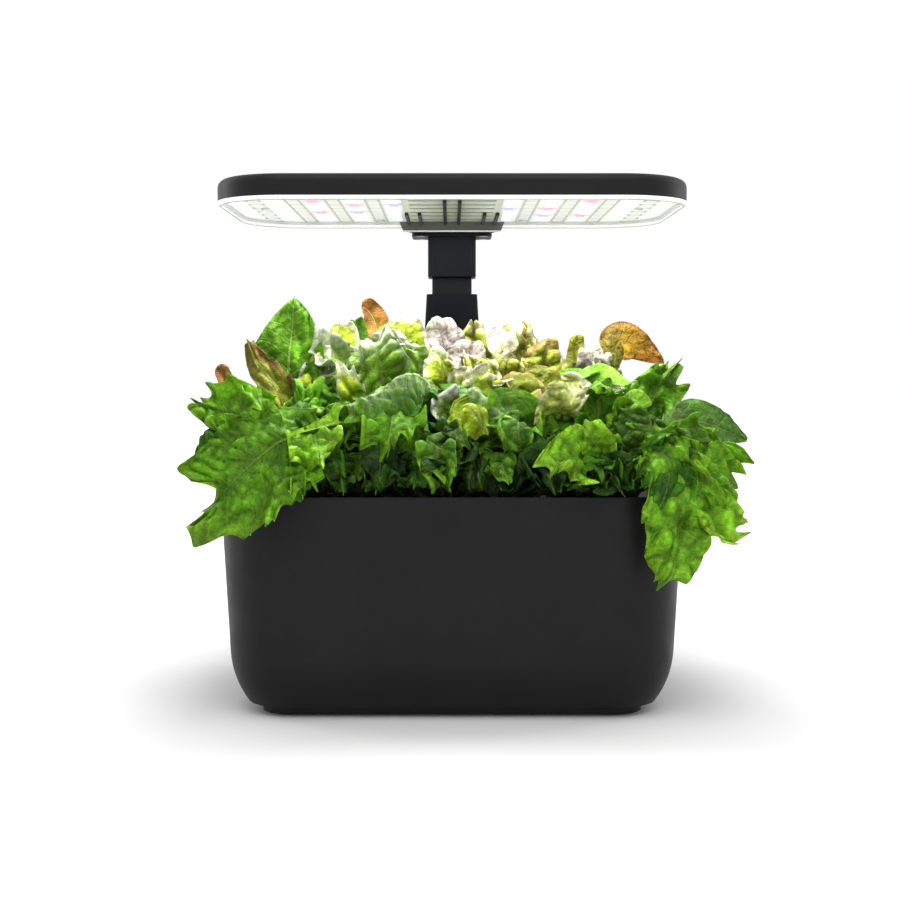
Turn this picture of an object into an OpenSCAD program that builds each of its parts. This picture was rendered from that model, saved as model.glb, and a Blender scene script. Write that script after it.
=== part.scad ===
// Countertop hydroponic garden: a tub with a water tank, a lift-out deck of six pods,
// and a flat grow light on a telescoping mast. Millimetres, +Z up, front towards -Y.
// The origin is on the floor under the middle of the tub.

/* [Tub] */
// Width across the rim
tub_w = 262; // [235:1:320]
// Depth across the rim, front to back
tub_d = 172; // [168:1:210]
// Height of the rim above the floor
tub_h = 124.5; // [108:0.5:145]
// Corner radius of the rim seen from above
tub_corner_r = 40; // [34:1:48]
// Inward slope of the walls, as run over rise
tub_taper = 0.054; // [0.03:0.001:0.08]
// Wall thickness of the shell
tub_wall = 2.6; // [2:0.1:3.2]
// Height below which the wall tucks in
tuck_h = 34; // [20:1:40]
// Radius of the tucked-in curve
tuck_r = 50; // [36:1:60]
// Height of the recessed plinth
plinth_h = 6; // [3:0.5:8]

/* [Tank] */
// Height of the dry bay under the tank, above the plinth
bay_h = 27; // [24:1:32]
// Wall thickness of the tank
tank_wall = 2; // [1.6:0.1:3]
// Gap between the tank and the shell
tank_gap = 2; // [1:0.5:4]
// Depth of the tank's ledge below the rim
ledge_drop = 12; // [10:1:16]

/* [Deck] */
// Thickness of the deck
deck_t = 2.6; // [2:0.1:4]
// Radius of a pod basket at the deck
pod_r = 17.4; // [14:0.1:19]
// Radius of a pod basket at its foot
pod_foot_r = 13; // [9:0.5:14]
// Depth of a pod basket below the deck
pod_depth = 48; // [36:1:56]
// Wall thickness of a pod basket
pod_wall = 1.5; // [1:0.1:2]
// Length of the fill port
port_w = 30; // [20:1:34]
// Breadth of the fill port
port_d = 22; // [16:1:24]
// Radius of the float
float_r = 9; // [6:0.5:10]

/* [Mast] */
// Distance from the rim's back edge to the mast's middle
mast_back = 32; // [30:1:34]
// Width of the sliding tube
tube_w = 24.8; // [20:0.1:28]
// Depth of the sliding tube
tube_d = 20.8; // [19:0.1:23]
// Wall thickness of the sliding tube
tube_wall = 1.8; // [1.2:0.1:2.4]
// Height of the post's top above the floor
post_top_z = 240.3; // [215:0.1:260]
// Bare length of the sliding tube when stored
tube_show = 10.7; // [10.5:0.1:40]
// Length of the tube that stays inside the post when stored
tube_hidden = 135; // [115:1:140]
// Width of the head sleeve
sleeve_w = 30; // [28:0.1:36]
// Height of the head sleeve
sleeve_h = 25.2; // [18:0.1:40]

/* [Lamp] */
// Width of the lamp
lamp_w = 263; // [235:1:320]
// Depth of the lamp
lamp_d = 160; // [150:1:200]
// Corner radius of the lamp seen from above
lamp_corner_r = 40; // [30:1:60]
// Distance from the mast's middle to the lamp's back edge
lamp_back = 20; // [19:1:40]
// Height of the black housing
housing_h = 12.1; // [11:0.1:16]
// Height of the white bezel under it
bezel_h = 2; // [1.6:0.1:3]
// Radius of the housing's top edge
housing_edge_r = 4.5; // [2:0.5:6]
// Spacing of the light columns
led_pitch = 22.5; // [20:0.5:26]

/* [Plants] */
// Height of the middle heads above the deck
head_h = 92; // [60:1:96]
// Thickness of a leaf
leaf_t = 2.2; // [1.6:0.1:4]

/* [Hidden] */
$fn = 64;

cut = 0.5; // how far a cutting solid runs past the face it cuts
touch_gap = 0.05; // gap round a piece that is pushed or screwed into another
slide_gap = 0.3; // gap round a piece that slides
drop_gap = 0.5; // gap round a piece that lifts out
running_gap = 0.05; // radial gap between a shaft and its bore

// Tub: the wall's profile, as an inset from the rim's outline at each height
function tub_inset(z) = tub_taper * (tub_h - z)
    + (z < tuck_h ? tuck_r - sqrt(tuck_r * tuck_r - pow(tuck_h - z, 2)) : 0);
tuck_steps = 8;
tub_levels = concat([for (i = [0:tuck_steps]) plinth_h + (tuck_h - plinth_h) * i / tuck_steps], [tub_h]);
floor_t = 2.5;
floor_z = plinth_h + floor_t;
foot_gap = 0.25; // how far the rubber feet stand proud of the plinth
foot_r = 8;
foot_recess = 1.2;
foot_x = tub_w / 2 - 43;
foot_y = tub_d / 2 - 42;
plinth_inset = 8;
window_inset = 21; // from the tub's bottom outline to the window in its floor

// Base screws, through the plinth into bosses on the tub's floor
base_boss_r = 4.5;
base_boss_h = 8;
base_boss_inset = 14;
base_screw_x = 55;
bottom_inset = tub_inset(plinth_h);
base_screw_places = [
    for (sx = [-1, 1]) [sx * (tub_w / 2 - bottom_inset - base_boss_inset), 0],
    for (sx = [-1, 1], sy = [-1, 1]) [sx * base_screw_x, sy * (tub_d / 2 - bottom_inset - base_boss_inset)]
];
screw_r = 1.25;
screw_head_r = 2.8;
screw_head_h = 1.25;

// Tank
tank_z = plinth_h + bay_h;
tank_floor_z = tank_z + tank_wall;
tank_inset = tub_inset(tank_z) + tub_wall + tank_gap;
ledge_z = tub_h - ledge_drop;
ledge_t = 2.5;
flange_t = 2;
flange_inset = tub_inset(ledge_z) + tub_wall + drop_gap;

// Deck
deck_z = ledge_z + flange_t;
deck_top_z = deck_z + deck_t;
deck_inset = tub_inset(deck_z) + tub_wall + drop_gap;
deck_w = tub_w - 2 * deck_inset;
skirt_h = 4;
skirt_t = 2;
skirt_inset = tank_inset + tank_wall + drop_gap;

// Mast, from the sliding tube outwards
mast_y = tub_d / 2 - mast_back;
bush_wall = 1.8;
post_wall = 3;
cavity_w = tube_w + 2 * (slide_gap + bush_wall);
cavity_d = tube_d + 2 * (slide_gap + bush_wall);
cavity_r = 4.5;
post_w = cavity_w + 2 * post_wall;
post_d = cavity_d + 2 * post_wall;
post_r = cavity_r + post_wall;
post_flare_z = post_top_z - 29;
post_flare = 1.65;
tube_r = 3.4;
seal_t = 1;
post_z = tank_floor_z + seal_t;
post_foot_w = post_w + 16;
post_foot_h = 3;
post_screw_x = post_w / 2 + 3.8;
post_screw_y = 10;
bush_h = 22;
tube_z = post_top_z - tube_hidden;
sleeve_z = post_top_z + tube_show;
sleeve_top_z = sleeve_z + sleeve_h;
sleeve_cap = 8;
sleeve_d = tube_d + 5.2;
sleeve_r = 4.5;
standpipe_r = 8;
standpipe_bore_r = 6;
standpipe_top_z = tube_z - 14;
lead_r = 1.8;
coil_r = 5;

// Pods: three columns by two rows, clear of the tub's front and of the mast
pod_flange_r = pod_r + 3.6;
pod_flange_t = 1.6;
pod_edge = 8.7;
pod_pitch = (deck_w - 2 * pod_edge) / 3;
pod_front_y = -tub_d / 2 + tank_inset + pod_flange_r + 8.8;
pod_back_y = mast_y - post_d / 2 - drop_gap - pod_flange_r - 5;
function pod_place(n) = [((n - 1) % 3 - 1) * pod_pitch, n <= 3 ? pod_front_y : pod_back_y];
pod_hole_r = pod_r + 0.4;
pod_z = deck_top_z - pod_depth;
function pod_r_at(z) = pod_foot_r + (pod_r - pod_foot_r) * (z - pod_z) / pod_depth;
sponge_z = pod_z + 16;
sponge_top_z = deck_top_z + 0.6;
stem_r = 4;

// Fill port and its lid, at the deck's back left
port_x = -tub_w / 2 + 45;
port_y = mast_y;
lid_t = 2;
lid_lap = 3;
hinge_r = 2.3;
hinge_pin_r = 1.5;
hinge_y = port_y + port_d / 2 + lid_lap + 2.3;
hinge_z = deck_top_z + hinge_r + slide_gap;
ear_w = 5;
lid_barrel_w = port_w - 2 * ear_w;

// Float and its guide, at the deck's back right
float_x = tub_w / 2 - 45;
float_y = mast_y;
float_h = 16;
float_z = deck_z - 36;
float_up = 12;
float_down = 18;
float_stem_r = 2.4;
float_stem_top_z = deck_top_z + 7;
guide_wall = 1.5;
guide_bore_r = float_r + 0.5;
guide_r = guide_bore_r + guide_wall;
guide_z = float_z - float_down - guide_wall - 1;

// Pump: a rotor in a dry-sided well of the tank floor, between the front and back pods
pump_x = pod_pitch / 2;
pump_y = (pod_front_y + pod_back_y) / 2;
well_r = 8;
well_wall = 1.6;
well_z = tank_z - 16;
shaft_r = 1.5;
rotor_r = 7;
impeller_r = 14;
cover_r = 19;
cover_wall = 2.2;
cover_h = 14;
cover_top_z = tank_floor_z + cover_h;
stator_r = 18;
filter_h = 8;

// Control board and power inlet, in the dry bay
board_w = 76;
board_d = 60;
board_t = 1.6;
board_x = -45;
board_z = floor_z + 4;
board_top_z = board_z + board_t;
jack_x = 70;
jack_z = plinth_h + 14;
jack_r = 4;
jack_panel_y = tub_d / 2 - 16;
jack_panel_t = 3.5;
jack_flange_r = 5.8;
jack_flange_t = 1.5;
jack_recess = 17;
jack_lead_z = board_top_z + 3;
jack_lead_y = 17;
tail_y = 4;

// Lamp, from its underside upwards
lamp_y = mast_y + lamp_back - lamp_d / 2;
plate_t = 2.1;
plate_w = 50;
plate_d = 28;
bracket_z = sleeve_top_z + plate_t;
bracket_h = 6.1;
bracket_top_w = 65;
bracket_bottom_w = 60;
bracket_d = 40;
rib_w = 2;
rib_t = 1.8;
rib_near_x = 4.1;
rib_far_x = [19, 26.5];
rib_far_length = 52;
lamp_z = bracket_z + bracket_h;
housing_z = lamp_z + bezel_h;
housing_top_z = housing_z + housing_h;
housing_inset = 0.5;
housing_wall = 2.2;
lip_w = 2.6;
lip_t = 0.7;
lens_inset = 1.9;
lens_z = lamp_z + lip_t;
led_z = housing_z + 0.5;
led_t = 1.2;
led_size = 5;
lamp_board_z = led_z + led_t;
lamp_board_t = 1.6;
lamp_board_inset = 3.4;
spreader_z = lamp_board_z + lamp_board_t;
spreader_t = 2;
spreader_top_z = spreader_z + spreader_t;
grille_w = 56;
grille_d = 150;
slot_pitch = 19;
slot_w = 5;
slot_margin = 4;
bracket_screw_x = 20;
bracket_screw_y = 10;
lamp_screw_r = 1.25;
lamp_boss_r = 4;
lamp_screw_places = [
    for (sx = [-1, 1]) [sx * (lamp_w / 2 - 22), 0],
    for (sx = [-1, 1], sy = [-1, 1]) [sx * 2 * led_pitch, sy * (lamp_d / 2 - 14)]
];
led_columns = [-5, -4, -3, -2, 1, 2, 3, 4];
led_rows = 7;
led_row_pitch = (lamp_d - 50) / (led_rows - 1);
red_leds_at = [[-4, 1], [-3, 2], [-4, 4], [3, 1], [2, 3], [3, 5]];
blue_leds_at = [[-3, 4], [-2, 2], [2, 5], [1, 3]];

// Buttons on top of the lamp
button_r = 6;
button_gap = 0.3;
button_rise = 1;
button_travel = 0.9;
button_flange_r = 7.4;
button_flange_t = 0.9;
button_x = 14;
button_y = mast_y - 26;
switch_t = 1;
switch_body = 0.9;

// Rounded rectangle whose corners are true arcs, laid about the origin
module rounded(w, d, r) {
    square([w - 2 * r, d], center = true);
    square([w, d - 2 * r], center = true);
    for (sx = [-1, 1], sy = [-1, 1])
        translate([sx * (w / 2 - r), sy * (d / 2 - r)]) circle(r);
}

// Slab with the outline w by d by r, drawn in by an inset
module slab(w, d, r, inset, z, t) {
    translate([0, 0, z]) linear_extrude(t) rounded(w - 2 * inset, d - 2 * inset, max(r - inset, 1));
}

// Wall that follows the outline w by d by r, with a profile of [inset, height] points
module wall_sweep(w, d, r, profile) {
    section = [for (p = profile) [r - p[0], p[1]]];
    half_w = w / 2 - r;
    half_d = d / 2 - r;
    for (a = [0, 180]) rotate([0, 0, a]) {
        translate([half_w, half_d, 0]) rotate_extrude(angle = 90) polygon(section);
        translate([-half_w, half_d, 0]) rotate([0, 0, 90]) rotate_extrude(angle = 90) polygon(section);
        translate([half_w, half_d, 0]) rotate([90, 0, 0]) linear_extrude(2 * half_d) polygon(section);
        translate([-half_w, half_d, 0]) rotate([0, 0, 90]) rotate([90, 0, 0])
            linear_extrude(2 * half_w) polygon(section);
    }
}

// Profile of a plain wall between two insets and two heights
function plain_wall(inset, wall, z0, z1) = [[inset, z0], [inset, z1], [inset + wall, z1], [inset + wall, z0]];

// Screw with its head down and its shank up, or the other way with up = -1
module screw(place, z, length, up) {
    translate([place[0], place[1], z]) mirror([0, 0, up < 0 ? 1 : 0]) {
        translate([0, 0, -screw_head_h]) cylinder(h = screw_head_h, r = screw_head_r);
        cylinder(h = length, r = screw_r);
    }
}

module tub_shell() {
    outer = [for (z = tub_levels) [tub_inset(z), z]];
    inner = [for (i = [len(tub_levels) - 1:-1:0]) [tub_inset(tub_levels[i]) + tub_wall, tub_levels[i]]];
    panel_z = jack_z - jack_recess / 2;
    color([0.16, 0.16, 0.16]) difference() {
        union() {
            wall_sweep(tub_w, tub_d, tub_corner_r, concat(outer, inner));
            difference() {
                slab(tub_w, tub_d, tub_corner_r, bottom_inset + tub_wall / 2, plinth_h, floor_t);
                slab(tub_w, tub_d, tub_corner_r, bottom_inset + window_inset, plinth_h - cut, floor_t + 2 * cut);
            }
            // Ledge that carries the tank's flange
            wall_sweep(tub_w, tub_d, tub_corner_r, [
                [tub_inset(ledge_z) + tub_wall / 2, ledge_z - ledge_t],
                [tub_inset(ledge_z) + tub_wall / 2, ledge_z],
                [tank_inset - drop_gap, ledge_z],
                [tank_inset - drop_gap, ledge_z - ledge_t]
            ]);
            for (p = base_screw_places)
                translate([p[0], p[1], plinth_h]) cylinder(h = floor_t + base_boss_h, r = base_boss_r);
            // Thick panel behind the power inlet
            translate([jack_x - jack_recess / 2 - tub_wall, jack_panel_y, panel_z])
                cube([jack_recess + 2 * tub_wall, tub_d / 2 - tub_inset(jack_z) - jack_panel_y - 1, jack_recess]);
        }
        for (p = base_screw_places)
            translate([p[0], p[1], plinth_h - cut]) cylinder(h = floor_t + base_boss_h - 1 + cut, r = screw_r + touch_gap);
        translate([jack_x - jack_recess / 2, jack_panel_y + jack_panel_t, panel_z + 2])
            cube([jack_recess, tub_d, jack_recess - 4]);
        translate([jack_x, jack_panel_y - cut, jack_z]) rotate([-90, 0, 0])
            cylinder(h = jack_panel_t + 2 * cut, r = jack_r + touch_gap);
    }
}

module reservoir() {
    color([0.22, 0.22, 0.23]) difference() {
        union() {
            wall_sweep(tub_w, tub_d, tub_corner_r, plain_wall(tank_inset, tank_wall, tank_z, deck_z));
            slab(tub_w, tub_d, tub_corner_r, tank_inset + tank_wall / 2, tank_z, tank_wall);
            wall_sweep(tub_w, tub_d, tub_corner_r,
                plain_wall(flange_inset, tank_inset - flange_inset + tank_wall / 2, ledge_z, deck_z));
            // Standpipe that carries the lamp's lead above the water
            translate([0, mast_y, tank_z]) cylinder(h = standpipe_top_z - tank_z, r = standpipe_r);
            // Well that holds the pump's rotor
            translate([pump_x, pump_y, well_z - well_wall])
                cylinder(h = tank_floor_z - well_z + well_wall, r = well_r + well_wall);
            for (sx = [-1, 1], sy = [-1, 1])
                translate([sx * post_screw_x, mast_y + sy * post_screw_y, tank_z - 8]) cylinder(h = 9, r = 4);
        }
        translate([0, mast_y, tank_z - cut]) cylinder(h = standpipe_top_z - tank_z + 2 * cut, r = standpipe_bore_r);
        translate([pump_x, pump_y, well_z]) cylinder(h = tank_floor_z - well_z + cut, r = well_r);
        for (sx = [-1, 1], sy = [-1, 1])
            translate([sx * post_screw_x, mast_y + sy * post_screw_y, tank_z - 7])
                cylinder(h = tank_wall + 7 + cut, r = screw_r + touch_gap);
    }
}

module base_plate() {
    color([0.1, 0.1, 0.1]) difference() {
        union() {
            slab(tub_w, tub_d, tub_corner_r, bottom_inset + plinth_inset, foot_gap, plinth_h - foot_gap);
            for (sx = [-1, 1], sy = [-1, 1])
                translate([board_x + sx * (board_w / 2 - 4), sy * (board_d / 2 - 4), plinth_h - 1])
                    cylinder(h = board_z - plinth_h + 1, r = 3.5);
        }
        for (p = base_screw_places) {
            translate([p[0], p[1], 0]) cylinder(h = plinth_h + cut, r = screw_r + 0.4);
            translate([p[0], p[1], 0]) cylinder(h = 1.75, r = screw_head_r + 0.4);
        }
        for (sx = [-1, 1], sy = [-1, 1]) {
            translate([sx * foot_x, sy * foot_y, 0]) cylinder(h = foot_gap + foot_recess, r = foot_r + touch_gap);
            translate([board_x + sx * (board_w / 2 - 4), sy * (board_d / 2 - 4), plinth_h - 1])
                cylinder(h = board_z, r = screw_r + touch_gap);
        }
    }
}

module rubber_feet() {
    color([0.08, 0.08, 0.08])
        for (sx = [-1, 1], sy = [-1, 1])
            translate([sx * foot_x, sy * foot_y, 0]) cylinder(h = foot_gap + foot_recess, r = foot_r);
}

module base_screws() {
    color([0.75, 0.75, 0.76])
        for (p = base_screw_places) screw(p, 1.75, plinth_h + floor_t + base_boss_h - 3.5, 1);
}

module power_jack() {
    color([0.12, 0.12, 0.12]) translate([jack_x, jack_panel_y, jack_z]) rotate([-90, 0, 0]) difference() {
        union() {
            translate([0, 0, -8]) cylinder(h = 8 + jack_panel_t, r = jack_r);
            translate([0, 0, jack_panel_t]) cylinder(h = jack_flange_t, r = jack_flange_r);
            translate([-5, -5, -15]) cube([10, 10, 8]);
        }
        difference() {
            translate([0, 0, -4]) cylinder(h = jack_panel_t + jack_flange_t + 4 + cut, r = 2.9);
            translate([0, 0, -4]) cylinder(h = jack_panel_t + 4, r = 1);
        }
    }
}

module jack_nut() {
    color([0.7, 0.7, 0.72]) translate([jack_x, jack_panel_y - 2.4, jack_z]) rotate([-90, 0, 0]) difference() {
        cylinder(h = 2.4, r = 6.6, $fn = 6);
        translate([0, 0, -cut]) cylinder(h = 2.4 + 2 * cut, r = jack_r + touch_gap);
    }
}

// Straight stretch of round lead between two points on one axis
module lead_run(a, b, r) {
    span = b - a;
    length = norm(span);
    translate(a) rotate([0, acos(span[2] / length), atan2(span[1], span[0])]) cylinder(h = length, r = r, $fn = 24);
}

module jack_lead() {
    back = [jack_x, jack_panel_y - 15, jack_lead_z];
    bend = [jack_x, jack_lead_y, jack_lead_z];
    front = [board_x + board_w / 2 + 1, jack_lead_y, jack_lead_z];
    color([0.15, 0.15, 0.15]) {
        lead_run(back, bend, 1.5);
        translate(bend) sphere(1.5, $fn = 24);
        lead_run(bend, front, 1.5);
    }
}

module control_board() {
    color([0.05, 0.3, 0.14]) difference() {
        translate([board_x - board_w / 2, -board_d / 2, board_z]) cube([board_w, board_d, board_t]);
        for (sx = [-1, 1], sy = [-1, 1])
            translate([board_x + sx * (board_w / 2 - 4), sy * (board_d / 2 - 4), board_z - cut])
                cylinder(h = board_t + 2 * cut, r = screw_r + 0.3);
    }
}

module board_parts() {
    edge_x = board_x + board_w / 2;
    color([0.1, 0.1, 0.1]) {
        translate([board_x - 12, -8, board_top_z]) cube([16, 16, 1.6]);
        translate([board_x - 30, -16, board_top_z]) cube([9, 12, 8]);
        translate([board_x + 12, -14, board_top_z]) cylinder(h = 11, r = 5);
        translate([edge_x - 7, jack_lead_y - 4, board_top_z]) cube([8, 8, 6]);
        translate([edge_x - 7, pump_y - 4, board_top_z]) cube([8, 8, 7]);
        translate([edge_x - 7, tail_y - 4, board_top_z]) cube([8, 8, 10]);
    }
}

module board_screws() {
    color([0.75, 0.75, 0.76])
        for (sx = [-1, 1], sy = [-1, 1])
            screw([board_x + sx * (board_w / 2 - 4), sy * (board_d / 2 - 4)], board_top_z, 6, -1);
}

module pump_motor() {
    color([0.55, 0.3, 0.14]) translate([pump_x, pump_y, well_z + 1]) difference() {
        cylinder(h = tank_z - well_z - 1, r = stator_r);
        translate([0, 0, -cut]) cylinder(h = tank_z, r = well_r + well_wall + touch_gap);
    }
}

module pump_lead() {
    lead_z = board_top_z + 5;
    color([0.7, 0.12, 0.1])
        lead_run([board_x + board_w / 2 + 1, pump_y, lead_z], [pump_x - stator_r, pump_y, lead_z], 1.2);
}

module pump_shaft() {
    color([0.9, 0.9, 0.88]) translate([pump_x, pump_y, well_z]) cylinder(h = cover_top_z - 0.4 - well_z, r = shaft_r);
}

module pump_impeller() {
    disc_z = tank_floor_z + 1.2;
    color([0.85, 0.85, 0.86]) translate([pump_x, pump_y, 0]) difference() {
        union() {
            translate([0, 0, well_z + 0.6]) cylinder(h = disc_z - well_z, r = rotor_r);
            translate([0, 0, disc_z]) cylinder(h = 1.2, r = impeller_r);
            translate([0, 0, disc_z + 0.3]) cylinder(h = 7.5, r = 4);
            for (a = [0:60:300]) rotate([0, 0, a]) translate([3, -0.7, disc_z + 0.6]) cube([impeller_r - 3.5, 1.4, 6]);
        }
        cylinder(h = cover_top_z, r = shaft_r + running_gap);
    }
}

module pump_cover() {
    spout = 16;
    spout_z = tank_floor_z + 5.5;
    color([0.14, 0.14, 0.15]) translate([pump_x, pump_y, 0]) difference() {
        union() {
            translate([0, 0, tank_floor_z]) cylinder(h = cover_h, r = cover_r);
            translate([0, -cover_r + 6, spout_z]) rotate([0, 90, 0]) cylinder(h = cover_r + spout, r = 4);
        }
        translate([0, 0, tank_floor_z - cut]) cylinder(h = cover_h - cover_wall + cut, r = cover_r - cover_wall);
        translate([0, -cover_r + 6, spout_z]) rotate([0, 90, 0]) cylinder(h = cover_r + spout + cut, r = 2.8);
        difference() {
            translate([0, 0, tank_floor_z]) cylinder(h = cover_h + cut, r = 8);
            translate([0, 0, cover_top_z - cover_wall]) cylinder(h = cover_wall, r = 3.2);
            for (a = [0:120:240]) rotate([0, 0, a])
                translate([0, -1, cover_top_z - cover_wall]) cube([cover_r - cover_wall, 2, cover_wall]);
        }
        translate([0, 0, tank_floor_z]) cylinder(h = cover_h - 0.4, r = shaft_r + running_gap);
    }
}

module pump_filter() {
    color([0.2, 0.22, 0.24]) translate([pump_x, pump_y, cover_top_z]) cylinder(h = filter_h, r = cover_r - 2);
}

module mast_seal() {
    color([0.5, 0.5, 0.48]) difference() {
        translate([0, mast_y, tank_floor_z]) linear_extrude(seal_t) rounded(post_foot_w, post_d, 5);
        translate([0, mast_y, tank_z]) cylinder(h = seal_t + tank_wall + cut, r = standpipe_r + touch_gap);
        for (sx = [-1, 1], sy = [-1, 1])
            translate([sx * post_screw_x, mast_y + sy * post_screw_y, tank_z])
                cylinder(h = seal_t + tank_wall + cut, r = screw_r + 0.3);
    }
}

module mast_post() {
    color([0.13, 0.13, 0.135]) difference() {
        union() {
            translate([0, mast_y, 0]) wall_sweep(post_w, post_d, post_r, [
                [0, post_z], [0, post_flare_z], [post_flare, post_top_z], [post_wall, post_top_z], [post_wall, post_z]
            ]);
            difference() {
                translate([0, mast_y, post_z]) linear_extrude(post_foot_h) rounded(post_foot_w, post_d, 5);
                translate([0, mast_y, post_z - cut]) linear_extrude(post_foot_h + 2 * cut)
                    rounded(cavity_w, cavity_d, cavity_r);
            }
        }
        for (sx = [-1, 1], sy = [-1, 1])
            translate([sx * post_screw_x, mast_y + sy * post_screw_y, post_z - cut])
                cylinder(h = post_foot_h + 2 * cut, r = screw_r + 0.3);
    }
}

module post_screws() {
    color([0.75, 0.75, 0.76])
        for (sx = [-1, 1], sy = [-1, 1])
            screw([sx * post_screw_x, mast_y + sy * post_screw_y], post_z + post_foot_h, 12, -1);
}

module mast_bush() {
    color([0.2, 0.2, 0.2]) translate([0, mast_y, 0])
        wall_sweep(cavity_w, cavity_d, cavity_r, plain_wall(touch_gap, bush_wall - touch_gap, post_top_z - bush_h, post_top_z));
}

module lead_tail() {
    lead_z = board_top_z + 8;
    start = [board_x + board_w / 2 + 1, tail_y, lead_z];
    turn = [0, tail_y, lead_z];
    bend = [0, mast_y, lead_z];
    color([0.15, 0.15, 0.15]) {
        lead_run(start, turn, lead_r);
        lead_run(turn, bend, lead_r);
        lead_run(bend, [0, mast_y, standpipe_top_z + 1], lead_r);
        for (corner = [turn, bend]) translate(corner) sphere(lead_r + touch_gap, $fn = 24);
    }
}

module mast_inner_tube() {
    color([0.08, 0.08, 0.08]) translate([0, mast_y, 0])
        wall_sweep(tube_w, tube_d, tube_r, plain_wall(0, tube_wall, tube_z, sleeve_top_z - sleeve_cap));
}

module head_sleeve() {
    color([0.07, 0.07, 0.07]) translate([0, mast_y, 0]) difference() {
        translate([0, 0, sleeve_z]) linear_extrude(sleeve_h) rounded(sleeve_w, sleeve_d, sleeve_r);
        translate([0, 0, sleeve_z - cut]) linear_extrude(sleeve_h - sleeve_cap + cut)
            rounded(tube_w + 2 * touch_gap, tube_d + 2 * touch_gap, tube_r + touch_gap);
        translate([0, 0, sleeve_z]) cylinder(h = sleeve_h + cut, r = coil_r);
    }
}

// Cuts for the bracket's four screws and the lamp's lead, between two heights
module bracket_holes(z0, z1) {
    translate([0, mast_y, z0 - cut]) cylinder(h = z1 - z0 + 2 * cut, r = coil_r);
    for (sx = [-1, 1], sy = [-1, 1])
        translate([sx * bracket_screw_x, mast_y + sy * bracket_screw_y, z0 - cut])
            cylinder(h = z1 - z0 + 2 * cut, r = screw_r + touch_gap);
}

module bracket_plate() {
    color([0.06, 0.06, 0.06]) difference() {
        translate([0, mast_y, sleeve_top_z]) linear_extrude(plate_t) rounded(plate_w, plate_d, 4);
        bracket_holes(sleeve_top_z, bracket_z);
        for (sx = [-1, 1], sy = [-1, 1])
            translate([sx * bracket_screw_x, mast_y + sy * bracket_screw_y, sleeve_top_z - cut])
                cylinder(h = screw_head_h + cut, r = screw_head_r + 0.1);
    }
}

module lamp_bracket() {
    front_y = mast_y - bracket_d / 2;
    rib_z = lamp_z - rib_t;
    rib_long = front_y - lamp_y + grille_d / 2;
    color([0.3, 0.3, 0.29]) difference() {
        union() {
            translate([0, mast_y + bracket_d / 2, bracket_z]) rotate([90, 0, 0]) linear_extrude(bracket_d)
                polygon([
                    [-bracket_bottom_w / 2, 0], [bracket_bottom_w / 2, 0],
                    [bracket_top_w / 2, bracket_h], [-bracket_top_w / 2, bracket_h]
                ]);
            for (sx = [-1, 1]) {
                translate([sx * rib_near_x - rib_w / 2, front_y - rib_long, rib_z]) cube([rib_w, rib_long + 2, rib_t]);
                for (x = rib_far_x) translate([sx * x - rib_w / 2, front_y - rib_far_length, rib_z])
                    cube([rib_w, rib_far_length + 2, rib_t]);
            }
        }
        bracket_holes(bracket_z, lamp_z);
    }
}

module bracket_screws() {
    color([0.2, 0.2, 0.2])
        for (sx = [-1, 1], sy = [-1, 1])
            screw([sx * bracket_screw_x, mast_y + sy * bracket_screw_y], sleeve_top_z + screw_head_h,
                spreader_top_z - sleeve_top_z - screw_head_h, 1);
}

module vent_grille() {
    slots = floor((grille_d - 2 * slot_margin) / slot_pitch);
    solid_y = mast_y - bracket_d / 2 - lamp_y; // the slats end where the bracket begins
    color([0.78, 0.78, 0.76]) difference() {
        union() {
            translate([0, lamp_y, lamp_z]) linear_extrude(bezel_h) rounded(grille_w, grille_d, 3);
            for (sx = [-1, 1], sy = [-1, 1])
                translate([sx * bracket_screw_x, mast_y + sy * bracket_screw_y, lamp_z])
                    cylinder(h = spreader_z - lamp_z, r = lamp_boss_r);
        }
        bracket_holes(lamp_z, spreader_z);
        for (i = [0:slots - 1]) {
            y = -grille_d / 2 + slot_margin + i * slot_pitch;
            if (y + slot_w < solid_y)
                translate([-grille_w / 2 + slot_margin, lamp_y + y, lamp_z - cut])
                    cube([grille_w - 2 * slot_margin, slot_w, bezel_h + 2 * cut]);
        }
    }
}

module lamp_housing() {
    edge_steps = 6;
    side_z = housing_top_z - housing_edge_r;
    edge = [for (i = [0:edge_steps]) [
        housing_inset + housing_edge_r * (1 - cos(90 * i / edge_steps)),
        side_z + housing_edge_r * sin(90 * i / edge_steps)
    ]];
    roof_inset = housing_inset + housing_edge_r;
    color([0.15, 0.15, 0.15]) difference() {
        union() {
            translate([0, lamp_y, 0]) {
                wall_sweep(lamp_w, lamp_d, lamp_corner_r, concat([[housing_inset, housing_z]], edge, [
                    [roof_inset, housing_top_z - housing_wall],
                    [housing_inset + housing_wall, side_z],
                    [housing_inset + housing_wall, housing_z]
                ]));
                slab(lamp_w, lamp_d, lamp_corner_r, roof_inset, housing_top_z - housing_wall, housing_wall);
                for (p = lamp_screw_places)
                    translate([p[0], p[1], spreader_top_z])
                        cylinder(h = housing_top_z - 1 - spreader_top_z, r = lamp_boss_r);
            }
        }
        for (p = lamp_screw_places)
            translate([p[0], lamp_y + p[1], spreader_top_z - cut]) cylinder(h = 3.5 + cut, r = lamp_screw_r + touch_gap);
        for (sx = [-1, 1])
            translate([sx * button_x, button_y, spreader_top_z]) cylinder(h = housing_h + cut, r = button_r + button_gap);
    }
}

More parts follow.
